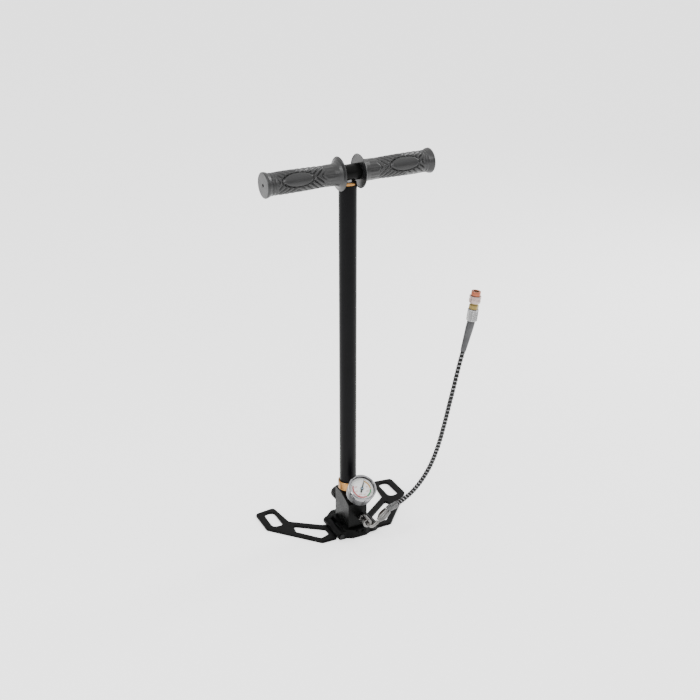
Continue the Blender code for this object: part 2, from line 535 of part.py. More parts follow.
def build_still_tube():
    tube = tube_profile(STILL_BORE_R, STILL_R, STILL_LOW, STILL_HIGH, GAP)
    finish("inner_tube", turned(tube, UP, SMALL_ROUND), (BRIGHT, 1.0, 0.2), (0, 0, STILL_LOW))
    low = STILL_HIGH + GAP
    head = ((STAGE_BORE_R, low), (STAGE_R, low), (STAGE_R, STAGE_GROOVE_LOW),
            (STAGE_GROOVE_R, STAGE_GROOVE_LOW),
            (STAGE_GROOVE_R, STAGE_GROOVE_HIGH), (STAGE_R, STAGE_GROOVE_HIGH), (STAGE_R, STAGE_HIGH - 1),
            (STAGE_R - 1, STAGE_HIGH), (STAGE_BORE_R, STAGE_HIGH))
    finish("second_stage_head", turned(head, UP, SMALL_ROUND), (BRASS, 1.0, 0.3), (0, 0, low))
    seal = tube_profile(STAGE_GROOVE_R + GAP, STAGE_SEAL_R,
                        STAGE_GROOVE_LOW + GAP, STAGE_GROOVE_HIGH - GAP, GAP)
    finish("second_stage_seal", turned(seal, UP, SMALL_ROUND), (INK, 0.0, 0.6), (0, 0, STAGE_GROOVE_LOW))


def build_piston():
    tube = tube_profile(PISTON_BORE_R, PISTON_R, PISTON_LOW, PISTON_HIGH, GAP)
    finish("piston_tube", turned(tube, UP, SMALL_ROUND), (BRIGHT, 1.0, 0.12), (0, 0, PISTON_LOW))
    head = ((HEAD_BORE_R, HEAD_LOW), (HEAD_R - 1, HEAD_LOW), (HEAD_R, HEAD_LOW + 1), (HEAD_R, GROOVE_LOW),
            (GROOVE_R, GROOVE_LOW), (GROOVE_R, GROOVE_HIGH), (HEAD_R, GROOVE_HIGH), (HEAD_R, HEAD_HIGH),
            (PISTON_R + GAP, HEAD_HIGH), (PISTON_R + GAP, HEAD_STEP), (HEAD_BORE_R, HEAD_STEP))
    finish("piston_head", turned(head, UP, SMALL_ROUND), (BRASS, 1.0, 0.3), (0, 0, HEAD_LOW))
    seal = tube_profile(GROOVE_R + GAP, SEAL_R, GROOVE_LOW + GAP, GROOVE_HIGH - GAP, GAP)
    finish("piston_seal", turned(seal, UP, SMALL_ROUND), (INK, 0.0, 0.6), (0, 0, GROOVE_LOW))
    rod = ((0, ROD_LOW), (ROD_R, ROD_LOW), (ROD_R, ROD_GROOVE_LOW), (ROD_GROOVE_R, ROD_GROOVE_LOW),
           (ROD_GROOVE_R, ROD_GROOVE_HIGH), (ROD_R, ROD_GROOVE_HIGH), (ROD_R, ROD_HEAD_LOW),
           (ROD_HEAD_R, ROD_HEAD_LOW), (ROD_HEAD_R, ROD_HIGH), (0, ROD_HIGH))
    finish("plunger_rod", turned(rod, UP, SMALL_ROUND), (BRIGHT, 1.0, 0.12), (0, 0, ROD_LOW))
    ring = tube_profile(ROD_GROOVE_R + GAP, ROD_SEAL_R, ROD_GROOVE_LOW + GAP, ROD_GROOVE_HIGH - GAP)
    finish("plunger_seal", turned(ring, UP, SMALL_ROUND), (INK, 0.0, 0.6), (0, 0, ROD_GROOVE_LOW))


def build_handle():
    yaw = Vector((math.cos(HANDLE_YAW), math.sin(HANDLE_YAW), 0))
    along = frame_at(HANDLE_MID, yaw, (0, 1, 0))
    shape = ((0, -BAR_X), (BAR_R - 1, -BAR_X), (BAR_R, 1 - BAR_X), (BAR_R, -BOSS_X), (BOSS_R, -BOSS_X),
             (BOSS_R, BOSS_X), (BAR_R, BOSS_X), (BAR_R, BAR_X - 1), (BAR_R - 1, BAR_X), (0, BAR_X))
    socket = bar(BAR_SOCKET_R, (0, 0, HANDLE_Z - BOSS_R - 2), (0, 0, BAR_SOCKET_TOP), SMALL_ROUND)
    finish("handle_crossbar", cut(turned(shape, along, ROUND), socket), METAL_BLACK, (0, 0, HANDLE_Z))
    section = [(GRIP_BORE_R, GRIP_IN + FLANGE_DISH), (FLANGE_R - 2, GRIP_IN + FLANGE_DISH),
               (FLANGE_R - 1.4, GRIP_IN),
               (FLANGE_R - 0.5, GRIP_IN), (FLANGE_R, GRIP_IN + 0.5), (FLANGE_R - 0.4, GRIP_IN + FLANGE_T)]
    section += [(radius, x) for x, radius in GRIP_SHAPE]
    section += [(END_R, GRIP_OUT - 2), (END_R, GRIP_OUT - END_EDGE), (END_R - END_EDGE, GRIP_OUT),
                (GRIP_HOLE_R, GRIP_OUT), (GRIP_HOLE_R, GRIP_OUT - GRIP_WALL),
                (GRIP_BORE_R, GRIP_OUT - GRIP_WALL)]
    for name, side in (("left", -1), ("right", 1)):
        outward = frame_at(HANDLE_MID, yaw * side, (0, 1, 0))
        finish(f"grip_{name}", turned(section, outward, ROUND), (RUBBER, 0.0, 0.55), (0, 0, HANDLE_Z))


def build_gauge():
    frame, normal = gauge_frame()
    reach = stem_length(normal)
    case = ((STEM_NECK_R + GAP, CASE_BACK), (CASE_R - 2, CASE_BACK), (CASE_R, CASE_BACK + 2),
            (CASE_R, CASE_FRONT),
            (CASE_IN_R, CASE_FRONT), (CASE_IN_R, CASE_BACK + CASE_WALL),
            (STEM_NECK_R + GAP, CASE_BACK + CASE_WALL))
    finish("gauge_case", turned(case, frame, ROUND), (STEEL, 1.0, 0.35), FACE)
    bezel = ((BEZEL_IN_R, BEZEL_BACK), (BEZEL_R, BEZEL_BACK), (BEZEL_R, BEZEL_FRONT - 1.2),
             (BEZEL_R - 1.2, BEZEL_FRONT), (LIP_R + 0.8, BEZEL_FRONT), (LIP_R, GAP), (BEZEL_IN_R, GAP))
    finish("gauge_bezel", turned(bezel, frame, ROUND), (BRIGHT, 1.0, 0.15), FACE)
    finish("gauge_lens", turned(rod_profile(LENS_R, -LENS_T, 0), frame, ROUND), (CLEAR, 0.0, 0.03), FACE)
    dial = tube_profile(HUB_R / 2 + GAP, DIAL_R, DIAL_Z - DIAL_T, DIAL_Z)
    finish("gauge_dial", turned(dial, frame, ROUND), (WHITE, 0.0, 0.5), FACE)
    build_needle(frame)
    stem = ((0, -reach - STEM_IN + GAP), (STEM_R, -reach - STEM_IN + GAP), (STEM_R, -reach + 1),
            (STEM_FLAT_R, -reach + 2), (STEM_FLAT_R, CASE_BACK - GAP), (STEM_NECK_R, CASE_BACK - GAP),
            (STEM_NECK_R, MOVE_BACK - GAP), (0, MOVE_BACK - GAP))
    finish("gauge_stem", turned(stem, frame, SMALL_ROUND), (BRASS, 1.0, 0.3), FACE - normal * reach)
    outline = ((-MOVE_X, -MOVE_Y), (MOVE_X, -MOVE_Y), (MOVE_X, MOVE_Y), (-MOVE_X, MOVE_Y))
    movement = plate(rounded(outline, 2), (circle(HUB_R / 2 + GAP),), MOVE_BACK, MOVE_FRONT, frame)
    finish("gauge_movement", movement, (BRASS, 1.0, 0.35), FACE)


def build_needle(frame):
    """The pointer, drawn pointing along local Y, then turned clockwise to its rest."""
    half = 0.7
    points = [(half * 1.4, -NEEDLE_TAIL), (half, -HUB_R)]
    arc = [math.radians(a) for a in (-60, -30, 0, 30, 60)]
    points += [(HUB_R * math.cos(a), HUB_R * math.sin(a)) for a in arc]
    points += [(half * 0.8, HUB_R), (half * 0.3, NEEDLE_LONG),
               (-half * 0.3, NEEDLE_LONG), (-half * 0.8, HUB_R)]
    points += [(-HUB_R * math.cos(a), HUB_R * math.sin(a)) for a in reversed(arc)]
    points += [(-half, -HUB_R), (-half * 1.4, -NEEDLE_TAIL)]
    turned_frame = frame @ Matrix.Rotation(-NEEDLE_REST, 4, "Z")
    mesh = plate(points, (), NEEDLE_Z, NEEDLE_Z + NEEDLE_T, turned_frame)
    shaft = turned(rod_profile(HUB_R / 2, DIAL_Z - 3, NEEDLE_Z + NEEDLE_T / 2), turned_frame, 16)
    cap_shape = rod_profile(HUB_R * 0.7, NEEDLE_Z + NEEDLE_T / 2, NEEDLE_Z + NEEDLE_T + 1, 0.3)
    cap = turned(cap_shape, turned_frame, 16)
    finish("gauge_pointer", fused(mesh, shaft, cap), (INK, 0.0, 0.4), FACE)


def build_bleed():
    along = frame_at((BLEED_X, 0, BLEED_Z), (0, 1, 0), (1, 0, 0))
    knob = plate(lobed(KNOB_R, KNOB_DENT, KNOB_LOBES), (), KNOB_NEAR, KNOB_FAR, along, 0.5, 0.5)
    stem = ((0, BLEED_END + GAP), (STEM_BLEED_R / 2, BLEED_END + GAP), (STEM_BLEED_R, BLEED_END + 2),
            (STEM_BLEED_R, BLOCK_BACK + GAP), (KNOB_R - 5, BLOCK_BACK + GAP + 0.2),
            (KNOB_R - 5, KNOB_NEAR + 1),
            (0, KNOB_NEAR + 1))
    whole = fused(knob, turned(stem, along, SMALL_ROUND))
    finish("bleed_knob", whole, METAL_BLACK, (BLEED_X, KNOB_NEAR, BLEED_Z))
    ring = tube_profile(STEM_BLEED_R + GAP, RING_OUT, RING_NEAR, RING_FAR, GAP)
    finish("bleed_seal", turned(ring, along, SMALL_ROUND), (INK, 0.0, 0.6), (BLEED_X, RING_NEAR, BLEED_Z))


def build_outlet():
    along = frame_at((OUTLET_X, 0, OUTLET_Z), (0, -1, 0), (1, 0, 0))
    flats = plate(ngon(ADAPTER_R + 0.5, 6), (), -ADAPTER_NEAR, -ADAPTER_FAR, along, 0.5, 0.5)
    neck_end = -OUT_NUT_NEAR - GAP
    neck = turned(rod_profile(ADAPTER_NECK_R, -ADAPTER_FAR - 1, neck_end), along, SMALL_ROUND)
    spigot = turned(rod_profile(SPIGOT_R, -SPIGOT_END, -ADAPTER_NEAR + 1), along, SMALL_ROUND)
    bore = turned(rod_profile(OUTLET_BORE_R, -SPIGOT_END - 1, neck_end + 1), along, SMALL_ROUND)
    whole = cut(fused(flats, neck, spigot), bore)
    finish("outlet_adapter", whole, (SILVER, 1.0, 0.28), (OUTLET_X, ADAPTER_NEAR, OUTLET_Z))
    nut = plate(lobed(OUT_NUT_R, OUT_NUT_DENT, OUT_NUT_LOBES), (circle(ELBOW_HOLE_R),),
                -OUT_NUT_NEAR, -OUT_NUT_FAR, along, 0.3, 0.3)
    finish("outlet_nut", nut, (SILVER, 1.0, 0.25), (OUTLET_X, OUT_NUT_NEAR, OUTLET_Z))
    wire("outlet_elbow", smooth_route(ELBOW_ROUTE, 1.6), ELBOW_R, (SILVER, 1.0, 0.22), ELBOW_ROUTE[0])
    ferrule = [(0, 0), *((r, s) for s, r in FERRULE_SHAPE), (0, FERRULE_SHAPE[-1][0])]
    line = FERRULE_TO - FERRULE_FROM
    finish("hose_ferrule", turned(ferrule, frame_at(FERRULE_FROM, line, (0, 1, 0)), SMALL_ROUND),
           (SILVER, 1.0, 0.3), FERRULE_FROM)
    wire("hose_sleeve", smooth_route(SLEEVE_ROUTE, 3.0), SLEEVE_R, (STEEL, 1.0, 0.45), SLEEVE_ROUTE[0])


def build_hose():
    route = [(x, HOSE_Y, z) for x, z in HOSE_ROUTE]
    wire("hose", smooth_route(route, 8.6), HOSE_R, (BLACK, 0.0, 0.4), route[0])
    line = TAIL_TO - TAIL_FROM
    shape = ((0, 0), (TAIL_R0, 0), (TAIL_R1, line.length * 0.8), (TAIL_R1, line.length), (0, line.length))
    finish("hose_end_sleeve", turned(shape, frame_at(TAIL_FROM, line, (0, 1, 0)), SMALL_ROUND),
           (STEEL, 1.0, 0.2), TAIL_FROM)


def build_coupler():
    axis = Vector((math.sin(COUPLER_TILT), 0, math.cos(COUPLER_TILT)))
    frame = frame_at(COUPLER_FROM, axis, (0, 1, 0))
    at = COUPLER_FROM
    finish("coupler_ferrule", turned(rod_profile(CFERRULE_R, 0, CFERRULE_L, 0.8), frame, ROUND),
           (STEEL, 1.0, 0.4), at)
    body = plate(ngon(BRASS_R, BRASS_SIDES), (), BRASS_FROM, BRASS_TO, frame, 0.4, 0.4)
    stock = turned(rod_profile(STOCK_R, BRASS_TO - 1, STOCK_TO), frame, SMALL_ROUND)
    socket = turned(rod_profile(SOCKET_R, SOCKET_FROM, STOCK_TO + 1), frame, SMALL_ROUND)
    finish("coupler_body", cut(fused(body, stock), socket), (BRASS, 1.0, 0.25), at)
    collar = tube_profile(COLLAR_IN_R, COLLAR_R, COLLAR_FROM, COLLAR_TO, 0.8)
    finish("coupler_collar", turned(collar, frame, SMALL_ROUND), (BRIGHT, 1.0, 0.25), at + axis * COLLAR_FROM)
    cap = ((COLLAR_IN_R, CAP_FROM), (CAP_R, CAP_FROM), (CAP_R, CAP_TO - 0.6), (CAP_R - 0.6, CAP_TO),
           (CAP_MOUTH_R, CAP_TO), (CAP_MOUTH_R, CAP_LIP), (COLLAR_IN_R, CAP_LIP))
    finish("coupler_cap", turned(cap, frame, SMALL_ROUND), (COPPER, 1.0, 0.3), at + axis * CAP_FROM)
    seal = tube_profile(CSEAL_IN, CSEAL_OUT, CSEAL_FROM, CSEAL_TO, GAP)
    finish("coupler_seal", turned(seal, frame, SMALL_ROUND), (INK, 0.0, 0.6), at + axis * CSEAL_FROM)


def main():
    clear_scene()
    build_base()
    build_base_screws()
    for name, side in (("left", -1), ("right", 1)):
        build_foot(name, side)
    build_block()
    build_valve()
    build_cylinder()
    build_still_tube()
    build_piston()
    build_handle()
    build_gauge()
    build_bleed()
    build_outlet()
    build_hose()
    build_coupler()


main()
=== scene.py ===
"""Looks for the hand-operated stirrup pump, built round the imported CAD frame.

Lengths below are millimetres in the CAD frame; objects are made in metres.
"""

import math

import bmesh
import bpy
from mathutils import Matrix, Vector
from mathutils.geometry import tessellate_polygon


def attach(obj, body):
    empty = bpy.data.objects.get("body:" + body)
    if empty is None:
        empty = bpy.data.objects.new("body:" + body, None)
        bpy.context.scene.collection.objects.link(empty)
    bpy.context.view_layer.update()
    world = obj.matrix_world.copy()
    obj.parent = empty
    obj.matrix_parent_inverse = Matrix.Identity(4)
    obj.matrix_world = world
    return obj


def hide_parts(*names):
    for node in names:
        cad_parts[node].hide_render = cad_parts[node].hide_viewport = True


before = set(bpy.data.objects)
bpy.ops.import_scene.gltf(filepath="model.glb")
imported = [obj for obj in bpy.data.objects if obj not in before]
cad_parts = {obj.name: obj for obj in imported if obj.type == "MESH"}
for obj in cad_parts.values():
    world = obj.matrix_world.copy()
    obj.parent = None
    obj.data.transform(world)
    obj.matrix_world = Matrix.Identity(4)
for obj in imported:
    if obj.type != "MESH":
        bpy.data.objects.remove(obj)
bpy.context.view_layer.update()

MM = 0.001
TURN = 2 * math.pi
FINE = 96
UP = Matrix.Identity(4)
SMOOTH = math.radians(32)

# Camera and light
CAMERA_AT = (-0.7714, -1.5616, 1.1474)
CAMERA_AZIMUTH, CAMERA_DROP = math.radians(26.4), math.radians(25.2)
LENS, SENSOR = 62.13, 36.0
SKY_LOW, SKY_HIGH, SKY_RISE = 0.65, 2.0, 0.7
FLOOR_R, FLOOR_PALE, FLOOR_GLOW = 30.0, 0.92, 0.7

# Materials: the part of the noise that is used, and how deep its grain goes, in metres
GLOSS_FROM, GLOSS_TO = 0.3, 0.7
TINT_FROM, TINT_TO = 0.32, 0.68
GRAIN_DEEP, MARKS_DEEP = 0.0004, 0.0003

# Cylinder stack
CYL_R, CYL_BORE_R, CYL_LOW, CYL_HIGH = 14.0, 12.7, 80.3, 602.5
GLAND_R, GLAND_LOW, GLAND_HIGH, GLAND_BORE_R = 13.3, 602.8, 607.0, 9.1
WIPER_OUT, WIPER_LOW = 11.0, 604.9
GLAND_CHAMFER, WIPER_GAP = 1.2, 0.3
PISTON_R, PISTON_BORE_R, PISTON_LOW, PISTON_HIGH = 8.8, 7.1, 104.0, 618.7

# Handle
HANDLE_MID, HANDLE_YAW = Vector((1.9, 0.0, 620.0)), math.radians(1.3)
GRIP_IN, GRIP_OUT, FLANGE_R, FLANGE_DISH, END_R = 16.2, 140.0, 26.3, 0.6, 19.5
PAD_MID, PAD_LONG, PAD_WIDE, PAD_LIFT = 89.0, 24.0, 11.0, math.radians(22)
GROOVE_DEEP, CHEVRON_PITCH, CHEVRON_SLOPE = 2.3, 9.5, 1.15
PATTERN_IN, PATTERN_OUT = 42.0, 123.0
RING_AT, RING_WIDE, PAD_DOME, STRIPE_WIDE = 1.06, 0.075, 0.35, 1.8
GRIP_BORE_R, END_HOLE_R, END_T = 10.3, 2.5, 4.0
GRIP_SKIN = ((17.4, 25.9), (17.9, 23.9), (19.0, 20.6), (22.5, 17.8), (30.0, 16.5), (45.0, 16.2), (62.0, 16.8),
             (85.0, 17.3), (112.0, 17.4), (124.0, 17.0), (124.8, 16.2), (126.2, 16.2), (127.0, 17.0),
             (129.0, 17.2), (129.6, 16.4), (130.8, 16.4), (131.6, 17.4), (136.0, 19.2))

# Gauge
FACE = Vector((0.6, -53.0, 101.2))
FACE_TILT = math.radians(56.0)
CASE_R, CASE_BACK, CASE_FRONT, CASE_T, STEM_HOLE_R = 22.0, -24.0, -1.8, 1.6, 3.3
BEZEL_R, BEZEL_BORE_R, LIP_R, BEZEL_BACK, BEZEL_FRONT = 23.4, 22.3, 19.4, -6.5, 1.8
LENS_R, LENS_T, DIAL_R, DIAL_Z = 22.0, 1.5, 20.0, -5.6
LENS_ALPHA, LENS_TINT = 0.08, (0.02, 0.02, 0.02, 1)
NEEDLE_REST, SWEEP = math.radians(35.0), math.radians(270.0)
NEEDLE_Z, NEEDLE_LONG, NEEDLE_TAIL, NEEDLE_HALF, HUB_R = -4.6, 15.6, 7.2, 1.5, 2.2
DIAL_HOLE_R, BAND_IN, BAND_OUT = 1.4, 13.7, 16.0
DIVISIONS, LONG_EVERY = 30, 5
SHORT_TICK, LONG_TICK = (16.6, 17.8, 0.012), (16.2, 18.4, 0.024)  # inner, outer, half angle
FIGURES, FIGURE_STEP, FIGURE_AT, FIGURE_HIGH = 6, 50, 10.4, 3.8
FIGURE_TURN = math.radians(-170)

# Bleed wheel, along Y
BLEED_X, BLEED_Z, KNOB_R, KNOB_NEAR, KNOB_FAR = -7.5, 50.8, 11.0, 16.5, 30.0
KNOB_RIBS, RIB_DEEP, KNOB_DISH = 20, 0.7, 0.7
STEM_SECTION = ((0, -0.7), (1.5, -0.7), (3.0, 1.0), (3.0, 14.8), (6.0, 15.0), (6.0, 17.0), (0, 17.0))

# Outlet, hose and coupler; the hose lies in the plane y = HOSE_Y
OUTLET_X, OUTLET_Z = 6.2, 34.6
HOSE_Y, HOSE_R, CORE_R = -72.0, 4.4, 3.5
COIL_PITCH, COIL_PITCH_END, COIL_WIRE = 5.2, 7.0, 1.0
FERRULE_FROM, FERRULE_TO = Vector((20.6, -72.0, 42.5)), Vector((37.6, -72.0, 58.4))
FERRULE_SHAPE = ((0.0, 3.6), (3.0, 5.2), (7.5, 7.4), (11.0, 7.9), (16.0, 7.5), (23.0, 6.4))
FERRULE_LONG = FERRULE_SHAPE[-1][0]
CRIMPS, CRIMP_DEEP = 8, 0.55
NUT_R, NUT_BORE_R, NUT_FROM, NUT_TO = 7.6, 3.2, 47.0, 61.0
FLUTES, FLUTE_DEEP, FLUTE_FROM, FLUTE_TO = 9, 0.45, 47.8, 60.2
SLEEVE_R = 5.6
SLEEVE_ROUTE = ((37.9, -72.0, 58.7), (40.3, -72.0, 60.7), (44.0, -72.0, 61.7), (49.5, -72.0, 63.1),
                (55.3, -72.0, 65.3))
ELBOW_R = 2.9
ELBOW_ROUTE = ((6.2, -47.6, 34.6), (6.2, -60.0, 34.6), (6.6, -66.5, 34.3), (8.6, -70.8, 34.4),
               (12.6, -72.0, 36.2), (16.6, -72.0, 39.0), (20.0, -72.0, 42.0))
HOSE_ROUTE = ((55.9, 65.55), (66.0, 69.9), (85.2, 82.4), (103.0, 101.6), (118.2, 126.0),
              (130.1, 156.4), (139.8, 191.4), (147.9, 226.3), (154.8, 255.2), (161.1, 283.8),
              (166.2, 304.8), (170.2, 320.0))
TAIL_FROM, TAIL_TO = Vector((170.3, -72.0, 320.4)), Vector((183.3, -72.0, 370.0))
TAIL_R0, TAIL_R1, FACETS, FACET_DEEP = 4.4, 6.6, 6, 0.12
COUPLER_FROM, COUPLER_TILT = Vector((183.8, -72.0, 372.0)), math.radians(7.6)
STOCK_R, STOCK_LONG, KNURL_FROM, KNURL_TO = 8.8, 19.5, 1.5, 18.0
CAP_SECTION = ((6.2, 42.4), (7.7, 42.4), (7.7, 49.6), (4.6, 49.6), (4.6, 47.8), (6.2, 47.8))
COLLAR_SECTION = ((6.2, 30.2), (9.0, 30.2), (9.6, 32.4), (9.6, 35.6), (9.1, 36.2), (9.1, 37.4),
                  (9.6, 38.0), (9.6, 41.4), (8.9, 42.0), (6.2, 42.0))


# Mesh helpers -------------------------------------------------------------

def frame_at(origin, z_axis, x_axis):
    z = Vector(z_axis).normalized()
    x = Vector(x_axis)
    x = (x - z * x.dot(z)).normalized()
    rot = Matrix((x, z.cross(x), z)).transposed().to_4x4()
    return Matrix.Translation(Vector(origin)) @ rot


def finished(bm, name="piece"):
    """Writes a shape to a mesh, shaded smooth except across its sharp edges."""
    mesh = bpy.data.meshes.new(name)
    bm.to_mesh(mesh)
    bm.free()
    mesh.shade_smooth()
    mesh.set_sharp_from_angle(angle=SMOOTH)
    return mesh


def mesh_from(bm):
    """A mesh in metres from a shape in millimetres."""
    bmesh.ops.recalc_face_normals(bm, faces=bm.faces)
    bmesh.ops.scale(bm, vec=(MM, MM, MM), verts=bm.verts)
    return finished(bm)


def eased(profile, radius, steps=4):
    """A closed (r, h) section with each corner off the axis rounded."""
    out = []
    count = len(profile)
    for i in range(count):
        before, here, after = (Vector(profile[(i + k) % count]) for k in (-1, 0, 1))
        a, b = before - here, after - here
        bend = a.angle(b)
        if here.x < 0.01 or bend > math.radians(172):
            out.append(here)
            continue
        cut = min(radius / math.tan(bend / 2), a.length / 2.1, b.length / 2.1)
        start, end = here + a.normalized() * cut, here + b.normalized() * cut
        for k in range(steps + 1):
            t = k / steps
            out.append(start * (1 - t) ** 2 + here * 2 * t * (1 - t) + end * t ** 2)
    return out


def turned(profile, place, segments=FINE, relief=None):
    """A closed section turned about local Z; relief(angle, h, r) adds to the radius."""
    bm = bmesh.new()
    rings = []
    for radius, height in profile:
        if radius < 0.01:
            rings.append([bm.verts.new((0, 0, height))] * segments)
            continue
        ring = []
        for k in range(segments):
            a = TURN * k / segments
            r = radius + (relief(a, height, radius) if relief else 0.0)
            ring.append(bm.verts.new((r * math.cos(a), r * math.sin(a), height)))
        rings.append(ring)
    for low, high in zip(rings, rings[1:] + rings[:1]):
        for k in range(segments):
            j = (k + 1) % segments
            corners = list(dict.fromkeys((low[k], low[j], high[j], high[k])))
            if len(corners) > 2:
                bm.faces.new(corners)
    bm.transform(place)
    return mesh_from(bm)


def split_long(profile, step):
    """Adds points along the long sides of a section, so relief has something to move."""
    out = []
    for here, after in zip(profile, [*profile[1:], profile[0]]):
        here, after = Vector(here), Vector(after)
        parts = max(1, int((after - here).length / step))
        out += [here.lerp(after, k / parts) for k in range(parts)]
    return out


def smooth_route(points, spacing):
    """Evenly spread points on a smooth curve through the route points."""
    route = [Vector(p) for p in points]
    ends = [route[0] * 2 - route[1], *route, route[-1] * 2 - route[-2]]
    dense = []
    fine = 40
    for i in range(1, len(ends) - 2):
        p0, p1, p2, p3 = ends[i - 1:i + 3]
        for k in range(fine):
            t = k / fine
            dense.append(0.5 * (2 * p1 + (p2 - p0) * t + (2 * p0 - 5 * p1 + 4 * p2 - p3) * t * t
                                + (3 * p1 - p0 - 3 * p2 + p3) * t ** 3))
    dense.append(route[-1])
    lengths = [0.0]
    for a, b in zip(dense, dense[1:]):
        lengths.append(lengths[-1] + (b - a).length)
    count = max(3, round(lengths[-1] / spacing))
    out = []
    j = 0
    for k in range(count + 1):
        want = lengths[-1] * k / count
        while j < len(dense) - 2 and lengths[j + 1] < want:
            j += 1
        part = (want - lengths[j]) / (lengths[j + 1] - lengths[j])
        out.append(dense[j].lerp(dense[j + 1], part))
    return out


def route_frames(points):
    """A frame at each point, local Z along the route, turned as little as possible."""
    frames = []
    side = Vector((0, 1, 0))
    for i, point in enumerate(points):
        ahead = points[min(i + 1, len(points) - 1)] - points[max(i - 1, 0)]
        frames.append(frame_at(point, ahead, side))
        side = frames[-1].col[0].to_3d()
    return frames


def swept(points, radius, segments=48, relief=None):
    """A round tube with closed ends along the points; relief(angle, travelled) adds to the radius."""
    bm = bmesh.new()
    rings = []
    travelled = 0.0
    for i, place in enumerate(route_frames(points)):
        travelled += (points[i] - points[i - 1]).length if i else 0.0
        ring = []
        for k in range(segments):
            a = TURN * k / segments
            r = radius + (relief(a, travelled) if relief else 0.0)
            ring.append(bm.verts.new(place @ Vector((r * math.cos(a), r * math.sin(a), 0))))
        rings.append(ring)
    for low, high in zip(rings, rings[1:]):
        for k in range(segments):
            j = (k + 1) % segments
            bm.faces.new((low[k], low[j], high[j], high[k]))
    bm.faces.new(list(reversed(rings[0])))
    bm.faces.new(rings[-1])
    return mesh_from(bm)


def winding(points, radius, wire, pitch, pitch_end, per_turn=20, sides=10):
    """A coil spring wound round the route, its pitch opening from one end to the other."""
    frames = route_frames(points)
    lengths = [0.0]
    for a, b in zip(points, points[1:]):
        lengths.append(lengths[-1] + (b - a).length)
    growth = (pitch_end - pitch) / lengths[-1]
    turns = math.log(pitch_end / pitch) / growth
    steps = int(turns * per_turn)
    coil = []
    j = 0
    for k in range(steps + 1):
        turned_by = turns * k / steps
        want = min(lengths[-1], pitch * (math.exp(growth * turned_by) - 1) / growth)
        while j < len(points) - 2 and lengths[j + 1] < want:
            j += 1
        part = (want - lengths[j]) / (lengths[j + 1] - lengths[j])
        a = TURN * turned_by
        out = Vector((radius * math.cos(a), radius * math.sin(a), 0))
        coil.append((frames[j] @ out).lerp(frames[j + 1] @ out, part))
    return swept(coil, wire, sides)


def sheet_of(outline, low, high, place):
    """A thin flat plate with square edges."""
    bm = bmesh.new()
    layers = [[bm.verts.new((x, y, h)) for x, y in outline] for h in (low, high)]
    for i in range(len(outline)):
        bm.faces.new((layers[0][i - 1], layers[0][i], layers[1][i], layers[1][i - 1]))
    flat = [[Vector((x, y, 0)) for x, y in outline]]
    for tri in tessellate_polygon(flat):
        bm.faces.new([layers[0][i] for i in tri])
        bm.faces.new([layers[1][i] for i in tri])
    bm.transform(place)
    return mesh_from(bm)


def arc_band(inner, outer, start, end, low, high, place, steps=40):
    """Part of a flat ring, from start to end clockwise from local +Y."""
    angles = [start + (end - start) * k / steps for k in range(steps + 1)]
    outline = [(outer * math.sin(a), outer * math.cos(a)) for a in angles]
    outline += [(inner * math.sin(a), inner * math.cos(a)) for a in reversed(angles)]
    return sheet_of(outline, low, high, place)


def merged(meshes):
    bm = bmesh.new()
    for mesh in meshes:
        bm.from_mesh(mesh)
        bpy.data.meshes.remove(mesh)
    return finished(bm)


def place_piece(name, mesh, material, body, slot, *nodes):
    obj = bpy.data.objects.new(name, mesh)
    bpy.context.scene.collection.objects.link(obj)
    mesh.materials.clear()
    mesh.materials.append(material)
    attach(obj, body)
    if nodes:
        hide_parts(*nodes)
    return obj


def refined(node, name, width, material, body, slot, segments=3):
    """The CAD shape with its flat faces joined again and its edges rounded."""
    bm = bmesh.new()
    bm.from_mesh(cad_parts[node].data)
    bmesh.ops.remove_doubles(bm, verts=bm.verts, dist=0.000002)
    bmesh.ops.dissolve_limit(bm, angle_limit=math.radians(0.5), verts=bm.verts, edges=bm.edges)
    obj = place_piece(name, finished(bm, name), material, body, slot, node)
    bevel = obj.modifiers.new("edges", "BEVEL")
    bevel.limit_method = "ANGLE"
    bevel.angle_limit = math.radians(35)
    bevel.width = width * MM
    bevel.segments = segments
    bevel.use_clamp_overlap = True
    bevel.harden_normals = True
    return obj


# Materials ----------------------------------------------------------------

def principled(name, metallic=0.0, specular=0.5):
    mat = bpy.data.materials.new(name)
    mat.use_nodes = True
    shader = mat.node_tree.nodes["Principled BSDF"]
    shader.inputs["Metallic"].default_value = metallic
    shader.inputs["Specular IOR Level"].default_value = specular
    return mat, mat.node_tree, shader


def noise_at(tree, scale, detail=3.0, stretch=(1, 1, 1)):
    """Noise fixed to the object, drawn out along an axis where stretch differs."""
    nodes, links = tree.nodes, tree.links
    coords = nodes.new("ShaderNodeTexCoord")
    mapping = nodes.new("ShaderNodeMapping")
    mapping.inputs["Scale"].default_value = stretch
    tex = nodes.new("ShaderNodeTexNoise")
    tex.inputs["Scale"].default_value = scale
    tex.inputs["Detail"].default_value = detail
    links.new(coords.outputs["Object"], mapping.inputs["Vector"])
    links.new(mapping.outputs["Vector"], tex.inputs["Vector"])
    return tex.outputs["Fac"]


def spread(tree, source, low, high):
    """The noise as a number between low and high."""
    ramp = tree.nodes.new("ShaderNodeMapRange")
    ramp.inputs["From Min"].default_value = GLOSS_FROM
    ramp.inputs["From Max"].default_value = GLOSS_TO
    ramp.inputs["To Min"].default_value = low
    ramp.inputs["To Max"].default_value = high
    tree.links.new(source, ramp.inputs["Value"])
    return ramp.outputs["Result"]


